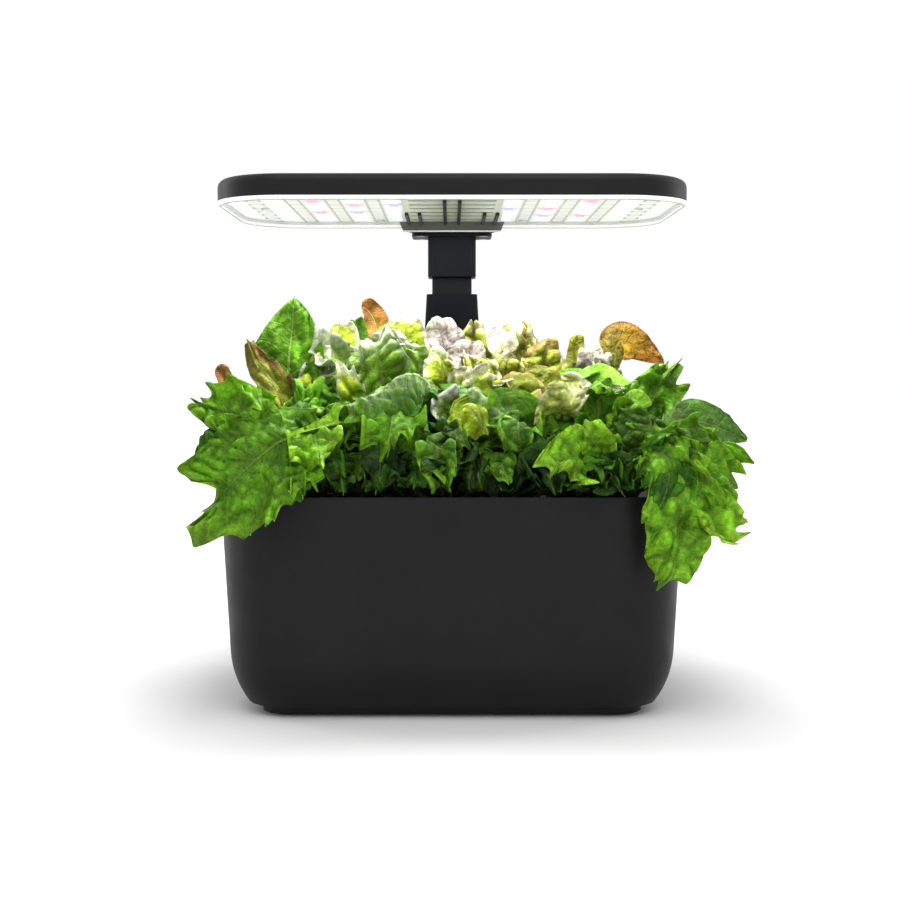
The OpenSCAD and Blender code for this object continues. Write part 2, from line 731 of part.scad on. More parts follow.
module heat_spreader() {
    color([0.8, 0.8, 0.81]) difference() {
        translate([0, lamp_y, 0]) slab(lamp_w, lamp_d, lamp_corner_r, lamp_board_inset, spreader_z, spreader_t);
        bracket_holes(spreader_z, spreader_top_z);
        for (p = lamp_screw_places)
            translate([p[0], lamp_y + p[1], spreader_z - cut]) cylinder(h = spreader_t + 2 * cut, r = lamp_screw_r + 0.3);
    }
}

module led_board() {
    color([0.95, 0.95, 0.94]) difference() {
        translate([0, lamp_y, 0]) slab(lamp_w, lamp_d, lamp_corner_r, lamp_board_inset, lamp_board_z, lamp_board_t);
        translate([0, mast_y, lamp_board_z - cut]) cylinder(h = lamp_board_t + 2 * cut, r = coil_r);
        for (sx = [-1, 1], sy = [-1, 1])
            translate([sx * bracket_screw_x, mast_y + sy * bracket_screw_y, lamp_board_z - cut])
                cylinder(h = lamp_board_t + 2 * cut, r = lamp_boss_r + 0.3);
        for (p = lamp_screw_places)
            translate([p[0], lamp_y + p[1], lamp_board_z - cut])
                cylinder(h = lamp_board_t + 2 * cut, r = lamp_screw_r + 0.3);
    }
}

// One light in its cell: the cells lie between the columns' rails
module led(cell, row) {
    x = (cell + 0.5) * led_pitch;
    y = lamp_y + (row - (led_rows - 1) / 2) * led_row_pitch;
    translate([x - led_size / 2, y - led_size / 2, led_z]) cube([led_size, led_size, led_t]);
}

// True where a cell of the board is listed
function listed(cell, row, places) = len([for (p = places) if (p[0] == cell && p[1] == row) 1]) > 0;

// True where the lamp's round corners leave room for a light; the end cells are shorter
function on_board(cell, row) = abs(cell + 0.5) < 4 || abs(row - (led_rows - 1) / 2) < 2;

module white_leds() {
    color([1, 1, 0.97])
        for (cell = led_columns, row = [0:led_rows - 1])
            if (on_board(cell, row) && !listed(cell, row, concat(red_leds_at, blue_leds_at))) led(cell, row);
}

module red_leds() {
    color([1, 0.7, 0.75]) for (p = red_leds_at) led(p[0], p[1]);
}

module blue_leds() {
    color([0.8, 0.78, 1]) for (p = blue_leds_at) led(p[0], p[1]);
}

module lamp_bezel() {
    step = lens_inset - slide_gap;
    color([0.97, 0.97, 0.97]) translate([0, lamp_y, 0])
        wall_sweep(lamp_w, lamp_d, lamp_corner_r, [
            [0, lamp_z], [0, housing_z], [step, housing_z], [step, lens_z], [lip_w, lens_z], [lip_w, lamp_z]
        ]);
}

module lamp_lens() {
    color([0.95, 0.97, 1, 0.5]) difference() {
        translate([0, lamp_y, 0]) slab(lamp_w, lamp_d, lamp_corner_r, lens_inset, lens_z, housing_z - lens_z);
        translate([0, lamp_y, lens_z - cut]) linear_extrude(bezel_h + cut)
            rounded(grille_w + 2 * slide_gap, grille_d + 2 * slide_gap, 3 + slide_gap);
    }
}

module lamp_screws() {
    color([0.75, 0.75, 0.76])
        for (p = lamp_screw_places) screw([p[0], lamp_y + p[1]], lamp_board_z, 6.5, 1);
}

module switch_board() {
    color([0.05, 0.3, 0.14]) {
        translate([-button_x - 9, button_y - 8, spreader_top_z]) cube([2 * button_x + 18, 16, switch_t]);
        for (sx = [-1, 1]) translate([sx * button_x - 2.5, button_y - 2.5, spreader_top_z + switch_t])
            cube([5, 5, switch_body]);
    }
}

module push_button(x) {
    flange_z = housing_top_z - housing_wall - slide_gap - button_flange_t;
    translate([x, button_y, 0]) {
        translate([0, 0, flange_z]) cylinder(h = button_flange_t, r = button_flange_r);
        translate([0, 0, flange_z]) cylinder(h = housing_top_z + button_rise - flange_z, r = button_r);
    }
}

module light_button() {
    color([0.85, 0.85, 0.85]) push_button(-button_x);
}

module pump_button() {
    color([0.35, 0.5, 0.7]) push_button(button_x);
}

// Coiled lead, drawn as the solid tube that the coil fills, with its straight upper end
module lamp_lead() {
    coil_top_z = sleeve_top_z - sleeve_cap - 4;
    color([0.12, 0.12, 0.12]) translate([0, mast_y, 0]) {
        translate([0, 0, standpipe_top_z + 1]) cylinder(h = coil_top_z - standpipe_top_z - 1, r = coil_r - 0.5);
        translate([0, 0, coil_top_z]) cylinder(h = spreader_z - coil_top_z, r = lead_r);
    }
}

module grow_deck() {
    color([0.12, 0.12, 0.12]) difference() {
        union() {
            slab(tub_w, tub_d, tub_corner_r, deck_inset, deck_z, deck_t);
            wall_sweep(tub_w, tub_d, tub_corner_r, plain_wall(skirt_inset, skirt_t, deck_z - skirt_h, deck_z + deck_t / 2));
            for (sx = [-1, 1])
                translate([port_x + sx * (lid_barrel_w + ear_w + 2 * slide_gap) / 2 - ear_w / 2, hinge_y, 0]) {
                    translate([0, 0, hinge_z]) rotate([0, 90, 0]) cylinder(h = ear_w, r = hinge_r);
                    translate([0, -hinge_r, deck_top_z - 1]) cube([ear_w, 2 * hinge_r, hinge_z - deck_top_z + 1]);
                }
        }
        for (n = [1:6])
            translate([pod_place(n)[0], pod_place(n)[1], deck_z - cut]) cylinder(h = deck_t + 2 * cut, r = pod_hole_r);
        translate([0, mast_y, deck_z - cut]) linear_extrude(deck_t + 2 * cut)
            rounded(post_w + 2 * drop_gap, post_d + 2 * drop_gap, post_r + drop_gap);
        translate([port_x, port_y, deck_z - cut]) linear_extrude(deck_t + 2 * cut) rounded(port_w, port_d, 4);
        translate([float_x, float_y, deck_z - cut]) cylinder(h = deck_t + 2 * cut, r = float_stem_r + drop_gap);
        translate([port_x - port_w, hinge_y, hinge_z]) rotate([0, 90, 0])
            cylinder(h = 2 * port_w, r = hinge_pin_r + touch_gap);
    }
}

module lid_pin() {
    color([0.7, 0.7, 0.72]) translate([port_x, hinge_y, hinge_z]) rotate([0, 90, 0])
        cylinder(h = lid_barrel_w + 2 * (ear_w + slide_gap), r = hinge_pin_r, center = true);
}

module fill_lid() {
    front_y = port_y - port_d / 2 - lid_lap;
    color([0.2, 0.2, 0.2]) difference() {
        union() {
            translate([port_x - port_w / 2 - lid_lap, front_y, deck_top_z])
                cube([port_w + 2 * lid_lap, hinge_y - hinge_r - slide_gap - front_y, lid_t]);
            translate([port_x - lid_barrel_w / 2, hinge_y - hinge_r - 2, deck_top_z + slide_gap])
                cube([lid_barrel_w, hinge_r + 2, lid_t - slide_gap]);
            translate([port_x, hinge_y, hinge_z]) rotate([0, 90, 0])
                cylinder(h = lid_barrel_w, r = hinge_r, center = true);
            // Lip that a finger lifts
            translate([port_x - 6, front_y - 3, deck_top_z + 0.6]) cube([12, 4, lid_t - 0.6]);
        }
        translate([port_x, hinge_y, hinge_z]) rotate([0, 90, 0])
            cylinder(h = port_w, r = hinge_pin_r + running_gap, center = true);
    }
}

module float_guide() {
    color([0.85, 0.86, 0.86]) translate([float_x, float_y, 0]) difference() {
        union() {
            translate([0, 0, guide_z]) cylinder(h = deck_z - guide_z, r = guide_r);
            translate([0, 0, deck_z - flange_t]) cylinder(h = flange_t, r = guide_r + 2);
        }
        translate([0, 0, guide_z + guide_wall]) cylinder(h = deck_z, r = guide_bore_r);
        translate([0, 0, guide_z - cut]) cylinder(h = deck_z, r = 4);
        for (a = [0, 90]) rotate([0, 0, a])
            translate([-guide_r - 1, -2, guide_z + 6]) cube([2 * guide_r + 2, 4, deck_z - guide_z - 16]);
    }
}

module float() {
    color([0.9, 0.35, 0.2]) translate([float_x, float_y, float_z]) {
        cylinder(h = float_h, r = float_r);
        cylinder(h = float_stem_top_z - float_z, r = float_stem_r);
    }
}

module pod_basket(n) {
    lip_z = deck_top_z + pod_flange_t;
    place = pod_place(n);
    color([0.1, 0.1, 0.1]) translate([place[0], place[1], 0]) difference() {
        rotate_extrude() polygon([
            [0, pod_z], [pod_foot_r, pod_z], [pod_r, deck_top_z], [pod_flange_r, deck_top_z],
            [pod_flange_r, lip_z], [pod_r - pod_wall, lip_z], [pod_r - pod_wall, deck_top_z],
            [pod_foot_r - pod_wall, pod_z + pod_wall], [0, pod_z + pod_wall]
        ]);
        for (a = [45, 135]) rotate([0, 0, a])
            translate([-pod_r - 1, -3, pod_z + 6]) cube([2 * pod_r + 2, 6, pod_depth - 18]);
        translate([0, 0, pod_z - cut]) cylinder(h = pod_wall + 2 * cut, r = 4);
    }
}

module grow_sponges() {
    inner_gap = pod_wall + 0.35;
    color([0.35, 0.24, 0.16])
        for (n = [1:6]) translate([pod_place(n)[0], pod_place(n)[1], 0])
            rotate_extrude() polygon([
                [stem_r + slide_gap, sponge_z], [pod_r_at(sponge_z) - inner_gap, sponge_z],
                [pod_r_at(deck_top_z) - inner_gap, deck_top_z], [pod_r_at(deck_top_z) - inner_gap, sponge_top_z],
                [stem_r + slide_gap, sponge_top_z]
            ]);
}

// Midline of a leaf from its foot to its tip, as [distance out, height]
leaf_r0 = 2;
leaf_steps = 8;
function leaf_mid(s, reach, rise, arc) = [leaf_r0 + reach * s, rise * sin(arc * s)];
function leaf_side(s, reach, rise, arc) = let(
    run = leaf_mid(s + 0.01, reach, rise, arc) - leaf_mid(s - 0.01, reach, rise, arc)
) [-run[1], run[0]] / norm(run);
function leaf_edge(side, reach, rise, arc) = [for (i = [0:leaf_steps])
    leaf_mid(i / leaf_steps, reach, rise, arc) + side * leaf_t / 2 * leaf_side(i / leaf_steps, reach, rise, arc)];
function leaf_section(reach, rise, arc) = let(
    upper = leaf_edge(1, reach, rise, arc),
    lower = leaf_edge(-1, reach, rise, arc)
) concat(upper, [for (i = [leaf_steps:-1:0]) lower[i]]);

// Ring of cupped leaves round a stem
module leaf_ring(count, turn, spread, reach, rise, arc) {
    for (i = [0:count - 1]) rotate([0, 0, turn + i * 360 / count - spread / 2])
        rotate_extrude(angle = spread) polygon(leaf_section(reach, rise, arc));
}

// One long leaf that leans out and bends over in the direction turn
module leaf_arch(turn, wide, reach, rise, arc) {
    rotate([0, 0, turn]) translate([0, wide / 2, 0]) rotate([90, 0, 0]) linear_extrude(wide)
        polygon(leaf_section(reach, rise, arc));
}

// Head of lettuce: a stem from the sponge, then rings of leaves, with room for long leaves
module head(n, tall, wide) {
    crown_z = deck_top_z + 10;
    side_reach = pod_pitch / 2 - 5;
    place = pod_place(n);
    lean = n <= 3 ? -10 : -5;
    translate([place[0], place[1], 0]) {
        translate([0, 0, sponge_z + 6]) cylinder(h = crown_z - sponge_z, r = stem_r);
        translate([0, lean, crown_z]) {
            translate([0, -lean / 2, -3]) rounded_crown(stem_r + 1, abs(lean));
            leaf_ring(5, 18, 62, wide, tall * 0.4, 112);
            leaf_ring(5, 54, 62, wide * 0.84, tall * 0.7, 100);
            leaf_ring(4, 20, 74, wide * 0.55, tall - 10, 90);
            for (turn = [0, 180]) leaf_arch(turn, wide, side_reach, tall * 0.62, 125);
            children();
        }
    }
}

// Knot at a head's foot, where its leaves start
module rounded_crown(r, length) {
    linear_extrude(8) {
        square([2 * r, length], center = true);
        for (sy = [-1, 1]) translate([0, sy * length / 2]) circle(r);
    }
}

module lettuce_1() {
    color([0.42, 0.65, 0.25]) head(1, head_h * 0.82, 27) {
        leaf_arch(213, 40, 74, 52, 215);
        leaf_arch(186, 34, 62, 60, 150);
    }
}

module lettuce_2() {
    color([0.35, 0.55, 0.22]) head(2, head_h * 0.86, 28);
}

module lettuce_3() {
    color([0.42, 0.65, 0.25]) head(3, head_h * 0.82, 27) {
        leaf_arch(318, 44, 76, 52, 228);
        leaf_arch(348, 36, 66, 58, 165);
    }
}

module lettuce_4() {
    color([0.3, 0.52, 0.2]) head(4, head_h, 27) {
        leaf_arch(196, 30, 36, head_h + 16, 92);
    }
}

module lettuce_5() {
    color([0.6, 0.42, 0.35]) head(5, head_h, 26);
}

module lettuce_6() {
    color([0.36, 0.56, 0.22]) head(6, head_h, 27) {
        leaf_arch(352, 34, 72, 56, 150);
    }
}

tub_shell();
reservoir();
base_plate();
rubber_feet();
base_screws();
power_jack();
jack_nut();
jack_lead();
control_board();
board_parts();
board_screws();
pump_motor();
pump_lead();
pump_shaft();
pump_impeller();
pump_cover();
pump_filter();
mast_seal();
mast_post();
post_screws();
mast_bush();
lead_tail();
mast_inner_tube();
head_sleeve();
bracket_plate();
lamp_bracket();
bracket_screws();
vent_grille();
lamp_housing();
heat_spreader();
led_board();
white_leds();
red_leds();
blue_leds();
lamp_bezel();
lamp_lens();
lamp_screws();
switch_board();
lamp_lead();
light_button();
pump_button();
grow_deck();
grow_sponges();
float_guide();
float();
fill_lid();
lid_pin();
pod_basket(1);  // pod_basket_1
pod_basket(2);  // pod_basket_2
pod_basket(3);  // pod_basket_3
pod_basket(4);  // pod_basket_4
pod_basket(5);  // pod_basket_5
pod_basket(6);  // pod_basket_6
lettuce_1();
lettuce_2();
lettuce_3();
lettuce_4();
lettuce_5();
lettuce_6();
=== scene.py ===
import math

import bpy
import numpy as np
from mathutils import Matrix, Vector


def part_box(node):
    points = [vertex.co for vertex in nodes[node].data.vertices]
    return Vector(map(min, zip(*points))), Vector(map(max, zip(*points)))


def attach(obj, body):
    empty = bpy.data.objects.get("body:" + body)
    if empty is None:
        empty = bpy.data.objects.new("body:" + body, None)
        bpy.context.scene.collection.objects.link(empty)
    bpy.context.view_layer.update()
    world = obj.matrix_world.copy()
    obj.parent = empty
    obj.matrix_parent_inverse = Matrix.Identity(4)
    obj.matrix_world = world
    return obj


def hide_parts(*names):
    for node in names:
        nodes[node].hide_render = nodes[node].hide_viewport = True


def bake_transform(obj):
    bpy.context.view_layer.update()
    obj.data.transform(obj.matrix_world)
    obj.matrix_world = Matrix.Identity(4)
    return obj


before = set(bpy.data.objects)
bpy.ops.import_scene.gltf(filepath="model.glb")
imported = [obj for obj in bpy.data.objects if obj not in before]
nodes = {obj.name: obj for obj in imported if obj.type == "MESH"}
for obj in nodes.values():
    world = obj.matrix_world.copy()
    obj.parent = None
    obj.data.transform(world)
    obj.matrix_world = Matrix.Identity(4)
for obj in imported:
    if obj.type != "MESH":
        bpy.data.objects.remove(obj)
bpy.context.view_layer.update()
scene = bpy.context.scene
scene.view_settings.view_transform = "Standard"
mm = 0.001

# -----
# Studio. A pale sweep of floor, one broad soft lamp above and in front, and a
# tall narrow soft lamp at each side that draws the bright lines on the corners.


def new_object(name, data):
    made = bpy.data.objects.new(name, data)
    scene.collection.objects.link(made)
    return made


camera_tilt = 3.434  # degrees below level
camera_data = bpy.data.cameras.new("studio_camera")
camera_data.lens = 56
camera_data.clip_end = 20
camera = new_object("studio_camera", camera_data)
camera.location = (-0.0012, -0.838, 0.1954)
camera.rotation_euler = (math.radians(90 - camera_tilt), 0, 0)
scene.camera = camera


def soft_lamp(name, place, aim, width, height, watts):
    data = bpy.data.lights.new(name, "AREA")
    data.shape = "RECTANGLE"
    data.size, data.size_y, data.energy = width, height, watts
    lamp = new_object(name, data)
    lamp.location = place
    lamp.rotation_euler = (Vector(aim) - Vector(place)).to_track_quat("-Z", "Y").to_euler()
    lamp.visible_camera = False


soft_lamp("overhead_lamp", (0.1, -0.9, 1.7), (0, 0, 0.12), 1.3, 1.3, 13)
soft_lamp("grow_light_spill", (0, -0.006, 0.279), (0, -0.006, 0), 0.23, 0.12, 0.8)
for name, x in (("left_lamp", -1), ("right_lamp", 1)):
    soft_lamp(name, (x, 0.32, 0.52), (0, 0, 0.1), 0.34, 0.7, 2.2)


def feed(node, inputs):
    """Sets a node's inputs, each from another node's socket or to a fixed value."""
    for name, value in inputs.items():
        socket = node.inputs[name]
        if isinstance(value, bpy.types.NodeSocket):
            value.id_data.links.new(value, socket)
        else:
            socket.default_value = (*value[:3], 1) if socket.type == "RGBA" else value
    return node


def add_node(tree, kind, inputs, **settings):
    """A new shader node of that kind, set and fed."""
    made = tree.nodes.new("ShaderNode" + kind)
    for name, value in settings.items():
        setattr(made, name, value)
    return feed(made, inputs)


def tree_of(values):
    return next(value.id_data for value in values if isinstance(value, bpy.types.NodeSocket))


def calculate(operation, *values, kind="Math"):
    """One sum on numbers or sockets."""
    made = add_node(tree_of(values), kind, dict(enumerate(values)), operation=operation)
    return made.outputs[1 if operation == "LENGTH" else 0]


def vector_sum(operation, *values):
    """The same on vectors; a length comes out as a number."""
    return calculate(operation, *values, kind="VectorMath")


def times(*values):
    return calculate("MULTIPLY", *values)


def remap(value, from_low, from_high, to_low=0, to_high=1, smooth=False):
    """Spreads a value over another range and holds it at both ends."""
    ends = {"From Min": from_low, "From Max": from_high, "To Min": to_low, "To Max": to_high}
    curve = "SMOOTHSTEP" if smooth else "LINEAR"
    return add_node(value.id_data, "MapRange", {"Value": value, **ends}, interpolation_type=curve).outputs[0]


def either_ray(tree):
    """1 for a ray that sees, mirrors or passes the backdrop, 0 for one that only brings light."""
    path = add_node(tree, "LightPath", {}).outputs
    seen = calculate("MAXIMUM", path["Is Camera Ray"], path["Is Glossy Ray"])
    return calculate("MAXIMUM", seen, path["Is Transmission Ray"])


def mixed_surface(tree, end, share, low, high):
    """Ends a node tree in a mix of two shaders."""
    made = add_node(tree, "MixShader", {0: share, 1: low.outputs[0], 2: high.outputs[0]})
    feed(tree.nodes[end], {"Surface": made.outputs[0]})


def place_in(material):
    """Where a point of the surface lies, in the object's own metres."""
    return add_node(material.node_tree, "TexCoord", {}).outputs["Object"]


def shader_of(material):
    return material.node_tree.nodes["Principled BSDF"]


def new_finish(name):
    """An empty finish: the material, its shader and the place of each point."""
    made = bpy.data.materials.new(name)
    made.use_nodes = True
    return made, shader_of(made), place_in(made)


world = bpy.data.worlds.new("studio_air")
scene.world = world
world.use_nodes = True
air = world.node_tree
air_light = feed(air.nodes["Background"], {"Color": (1, 1, 1), "Strength": 0.5})
air_seen = add_node(air, "Background", {"Color": (1, 1, 1), "Strength": 1})
mixed_surface(air, "World Output", either_ray(air), air_light, air_seen)

bpy.ops.mesh.primitive_plane_add(size=12, location=(0, 0, 0))
floor = bpy.context.object
floor.name = "studio_floor"
floor_paint, gloss, floor_place = new_finish("studio_floor_paint")
tree = floor_paint.node_tree
tree.nodes.remove(gloss)
# Painted contact shadow: the floor's glow is dimmed by ambient occlusion next to the object, and is lower the nearer
# it lies to the object.
shaded = add_node(tree, "AmbientOcclusion", {"Distance": 0.14}, samples=8)
painted_contact_shadow = calculate("POWER", shaded.outputs["AO"], 2.8)
painted_shadow_halo = remap(vector_sum("LENGTH", floor_place), 0.25, 0.9, 0.36, 1, True)
glow = times(either_ray(tree), times(painted_shadow_halo, painted_contact_shadow))
floor_glow = add_node(tree, "Emission", {"Color": (1, 1, 1), "Strength": glow})
floor_matt = add_node(tree, "BsdfDiffuse", {"Color": (0.86, 0.86, 0.86)})
floor_sum = add_node(tree, "AddShader", {0: floor_matt.outputs[0], 1: floor_glow.outputs[0]})
feed(tree.nodes["Material Output"], {"Surface": floor_sum.outputs[0]})
floor.data.materials.append(floor_paint)

# -----
# Tub shell. Injection-moulded ABS, charcoal, with a fine spark-eroded grain on
# the outside. The rim is rolled over to a small radius so that it is kind to hands.


def mix_colours(amount, low, high):
    values = {0: amount, 6: low, 7: high}
    return add_node(tree_of(values.values()), "Mix", values, data_type="RGBA").outputs[2]


def speckle(place, scale, detail=2, low=0, high=1, span=(0.3, 0.7)):
    """Cloudy noise, spread between low and high."""
    noise = add_node(place.id_data, "TexNoise", {"Scale": scale, "Detail": detail, "Vector": place})
    return remap(noise.outputs["Fac"], *span, low, high)


def relief(height, depth, strength, **under):
    """Bump of that depth in metres, over another one given as Normal."""
    values = {"Height": height, "Distance": depth, "Strength": strength, **under}
    return add_node(height.id_data, "Bump", values).outputs[0]


def plastic(name, colour, rough, grain=1500, depth=0.04, specular=0.5, flow=0.12, glow=0.0):
    """Moulded plastic: grain eroded into the tool to a depth in millimetres, faint flow marks, and wear."""
    made, shader, place = new_finish(name)
    dark, pale = ([min(1, c * share) for c in colour] for share in (1 - flow, 1 + flow))
    feed(shader, {
        "Base Color": mix_colours(speckle(place, 22, 3), dark, pale),
        "Roughness": speckle(place, 65, 4, rough * 0.9, min(1, rough * 1.12)),
        "Normal": relief(speckle(place, grain, 2), depth * mm, 0.6),
        "Specular IOR Level": specular,
        "Emission Color": colour,
        "Emission Strength": glow,
    })
    return made


def dress(material, *names):
    """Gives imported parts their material; they keep the finish name they already have."""
    for part in (nodes[name] for name in names):
        for slot in part.material_slots:
            slot.link = "OBJECT"
            slot.material = material
        if not part.material_slots:
            part.data.materials.append(material)


def only(thing):
    bpy.ops.object.select_all(action="DESELECT")
    thing.select_set(True)
    bpy.context.view_layer.objects.active = thing


def apply_all(thing):
    only(thing)
    for modifier in list(thing.modifiers):
        bpy.ops.object.modifier_apply(modifier=modifier.name)


def coat(piece, material):
    """Gives every face of a piece the same material."""
    piece.data.materials.clear()
    piece.data.materials.append(material)
    piece.data.polygons.foreach_set("material_index", [0] * len(piece.data.polygons))


def eased(node, name, radius, body, material, segments=2):
    """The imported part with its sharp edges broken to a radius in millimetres, as a mould or a file leaves them."""
    piece = new_object(name, nodes[node].data.copy())
    only(piece)
    bpy.ops.object.mode_set(mode="EDIT")
    bpy.ops.mesh.select_all(action="SELECT")
    bpy.ops.mesh.remove_doubles(threshold=0.002 * mm)
    bpy.ops.mesh.dissolve_limited(angle_limit=math.radians(0.4))
    bpy.ops.object.mode_set(mode="OBJECT")
    if piece.data.has_custom_normals:
        bpy.ops.mesh.customdata_custom_splitnormals_clear()
    ease = piece.modifiers.new("eased_edges", "BEVEL")
    ease.width = radius * mm
    ease.segments = segments
    ease.limit_method = "ANGLE"
    ease.angle_limit = math.radians(32)
    apply_all(piece)
    bpy.ops.object.shade_smooth_by_angle(angle=math.radians(34))
    level = piece.modifiers.new("flats_stay_flat", "WEIGHTED_NORMAL")
    level.keep_sharp = True
    level.weight = 100
    apply_all(piece)
    coat(piece, material)
    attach(piece, body)
    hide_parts(node)
    return piece


charcoal = plastic("charcoal_abs", (0.0105, 0.0105, 0.0108), 0.46, 1400, 0.03, 0.16)
eased("tub_shell", "tub", 1.3, "base", charcoal, 4)

# -----
# Base. A flat moulded plinth, set in from the tub so that it hides in shadow,
# held by six self-tapping screws and standing on four pressed-in rubber feet.
black_plastic = plastic("black_abs", (0.008, 0.008, 0.008), 0.55, 1500, 0.03, 0.3)
eased("base_plate", "plinth", 0.4, "base", black_plastic)


def rubber(name, colour):
    """Soft rubber: dull, faintly dusty, with a skin that never quite shines."""
    made = plastic(name, colour, 0.82, 900, 0.05, 0.3, 0.2)
    feed(shader_of(made), {"Sheen Weight": 0.15, "Sheen Roughness": 0.6})
    return made


dress(rubber("feet_rubber", (0.02, 0.02, 0.021)), "rubber_feet")


def turned_metal(name, colour, rough, brush=900):
    """Machined or plated metal with fine round tool marks."""
    made, shader, place = new_finish(name)
    feed(shader, {
        "Base Color": mix_colours(speckle(place, 130, 3), [c * 0.86 for c in colour], colour),
        "Roughness": speckle(place, 320, 3, rough * 0.75, rough * 1.25),
        "Normal": relief(speckle(place, brush, 2), 0.02 * mm, 0.5),
        "Metallic": 1,
    })
    return made


zinc = turned_metal("zinc_plate", (0.62, 0.62, 0.6), 0.32)
dress(zinc, "base_screws", "board_screws")
dress(turned_metal("stainless_screw", (0.6, 0.59, 0.57), 0.28), "post_screws")

# -----
# Water tank. One deep moulding in grey polypropylene that drops into the tub on
# its flange; the standpipe carries the lamp's lead up past the water line.
tank_grey = plastic("tank_polypropylene", (0.045, 0.046, 0.048), 0.36, 700, 0.03, 0.5, 0.08)
dress(tank_grey, "reservoir")

# -----
# Electrics in the dry bay. A nickel inlet with its nut, a green board carrying
# its parts on four screws, and the leads that run from it to the motor and mast.
dress(plastic("jack_nylon", (0.012, 0.012, 0.013), 0.42, 1800, 0.02), "power_jack")
dress(turned_metal("nickel_nut", (0.66, 0.63, 0.58), 0.3), "jack_nut")


def cable_skin(name, colour):
    """Extruded PVC: smooth, a little waxy, with a faint draw line."""
    return plastic(name, colour, 0.45, 420, 0.02, 0.5, 0.1)


black_lead = cable_skin("black_pvc", (0.013, 0.013, 0.014))
dress(black_lead, "jack_lead", "lead_tail")
dress(cable_skin("red_pvc", (0.32, 0.016, 0.014)), "pump_lead")


# Solder mask over copper: a green lacquer with the tracks showing as a slightly paler, raised pattern
mask, shader, place = new_finish("solder_mask")
green = (0.008, 0.085, 0.03)
shades = {"Color1": (0, 0, 0), "Color2": (0.15, 0.15, 0.15), "Mortar": (1, 1, 1)}
grid = {"Vector": place, "Scale": 180, "Mortar Size": 0.06, **shades}
tracks = add_node(mask.node_tree, "TexBrick", grid).outputs["Color"]
feed(shader, {
    "Base Color": mix_colours(tracks, green, [c * 2.1 + 0.004 for c in green]),
    "Normal": relief(tracks, 0.06 * mm, 0.7),
    "Roughness": speckle(place, 260, 2, 0.25, 0.42),
    "Coat Weight": 0.35,
})
dress(mask, "control_board", "switch_board")
dress(plastic("epoxy_parts", (0.02, 0.02, 0.022), 0.34, 900, 0.03), "board_parts")

# -----
# Pump. A sealed motor under the tank floor turns a magnet rotor in its well; the
# impeller runs on a ceramic pin under a slotted cover with a foam sleeve.
dress(plastic("motor_can", (0.03, 0.028, 0.026), 0.4, 600, 0.05), "pump_motor")
dress(plastic("white_ceramic", (0.78, 0.77, 0.74), 0.22, 500, 0.01), "pump_shaft")
dress(plastic("impeller_acetal", (0.62, 0.62, 0.6), 0.34, 700, 0.02), "pump_impeller")
dress(plastic("pump_abs", (0.03, 0.03, 0.032), 0.42), "pump_cover")


def open_foam(name, colour, cell):
    """Reticulated foam: pores of that size in metres, painted dark inside as painted shade, and pale on the struts."""
    made, shader, place = new_finish(name)
    cells = {"Scale": 1 / cell, "Vector": place}
    pores = add_node(made.node_tree, "TexVoronoi", cells, feature="DISTANCE_TO_EDGE")
    strut = remap(pores.outputs["Distance"], 0.04, 0.3, 1, 0)
    feed(shader, {
        "Base Color": mix_colours(strut, [c * 0.3 for c in colour], colour),
        "Normal": relief(strut, cell * 0.6, 0.9),
        "Roughness": speckle(place, 200, 2, 0.85, 1.0),
        "Specular IOR Level": 0.15,
    })
    return made


def worn_foam(node, name, body, material):
    """A foam ring or plug cut by a die: its rims are soft and its faces slightly uneven."""
    piece = eased(node, name, 0.8, body, material, 3)
    clouds = bpy.data.textures.new(name + "_faces", "CLOUDS")
    clouds.noise_scale = 4 * mm
    roughen = piece.modifiers.new("uneven_faces", "DISPLACE")
    roughen.texture = clouds
    roughen.strength = 0.3 * mm
    roughen.texture_coords = "LOCAL"
    apply_all(piece)


filter_grey = open_foam("filter_foam", (0.09, 0.09, 0.095), 0.9 * mm)
worn_foam("pump_filter", "pump_filter_foam", "base", filter_grey)

# -----
# Mast. A black moulded post screwed to the tank floor over a seal, an anodised
# tube that slides in its friction bush, and the sleeve bonded to the tube's top.
dress(rubber("seal_rubber", (0.03, 0.03, 0.032)), "mast_seal")
mast_black = plastic("mast_abs", (0.0035, 0.0038, 0.0046), 0.5, 1600, 0.025, 0.02)
eased("mast_post", "mast_post_moulding", 0.5, "base", mast_black)
bush_acetal = plastic("bush_acetal", (0.011, 0.011, 0.012), 0.32, 900, 0.015, 0.35)
eased("mast_bush", "friction_bush", 0.3, "base", bush_acetal)
# Dyed anodising on a drawn tube: dull metal with fine lines along the draw
tube_black, shader, place = new_finish("black_anodising")
drawn_out = vector_sum("MULTIPLY", place, (1, 1, 0.02))
lines = speckle(drawn_out, 2200, 3)
feed(shader, {
    "Base Color": mix_colours(lines, (0.0032, 0.0032, 0.00344), (0.005, 0.005, 0.005375)),
    "Roughness": speckle(place, 90, 3, 0.391, 0.552),
    "Normal": relief(lines, 0.02 * mm, 0.5),
    "Metallic": 0.04,
    "Specular IOR Level": 0.04,
})
eased("mast_inner_tube", "sliding_tube", 0.3, "light", tube_black)
eased("head_sleeve", "tube_head_sleeve", 0.5, "light", mast_black)

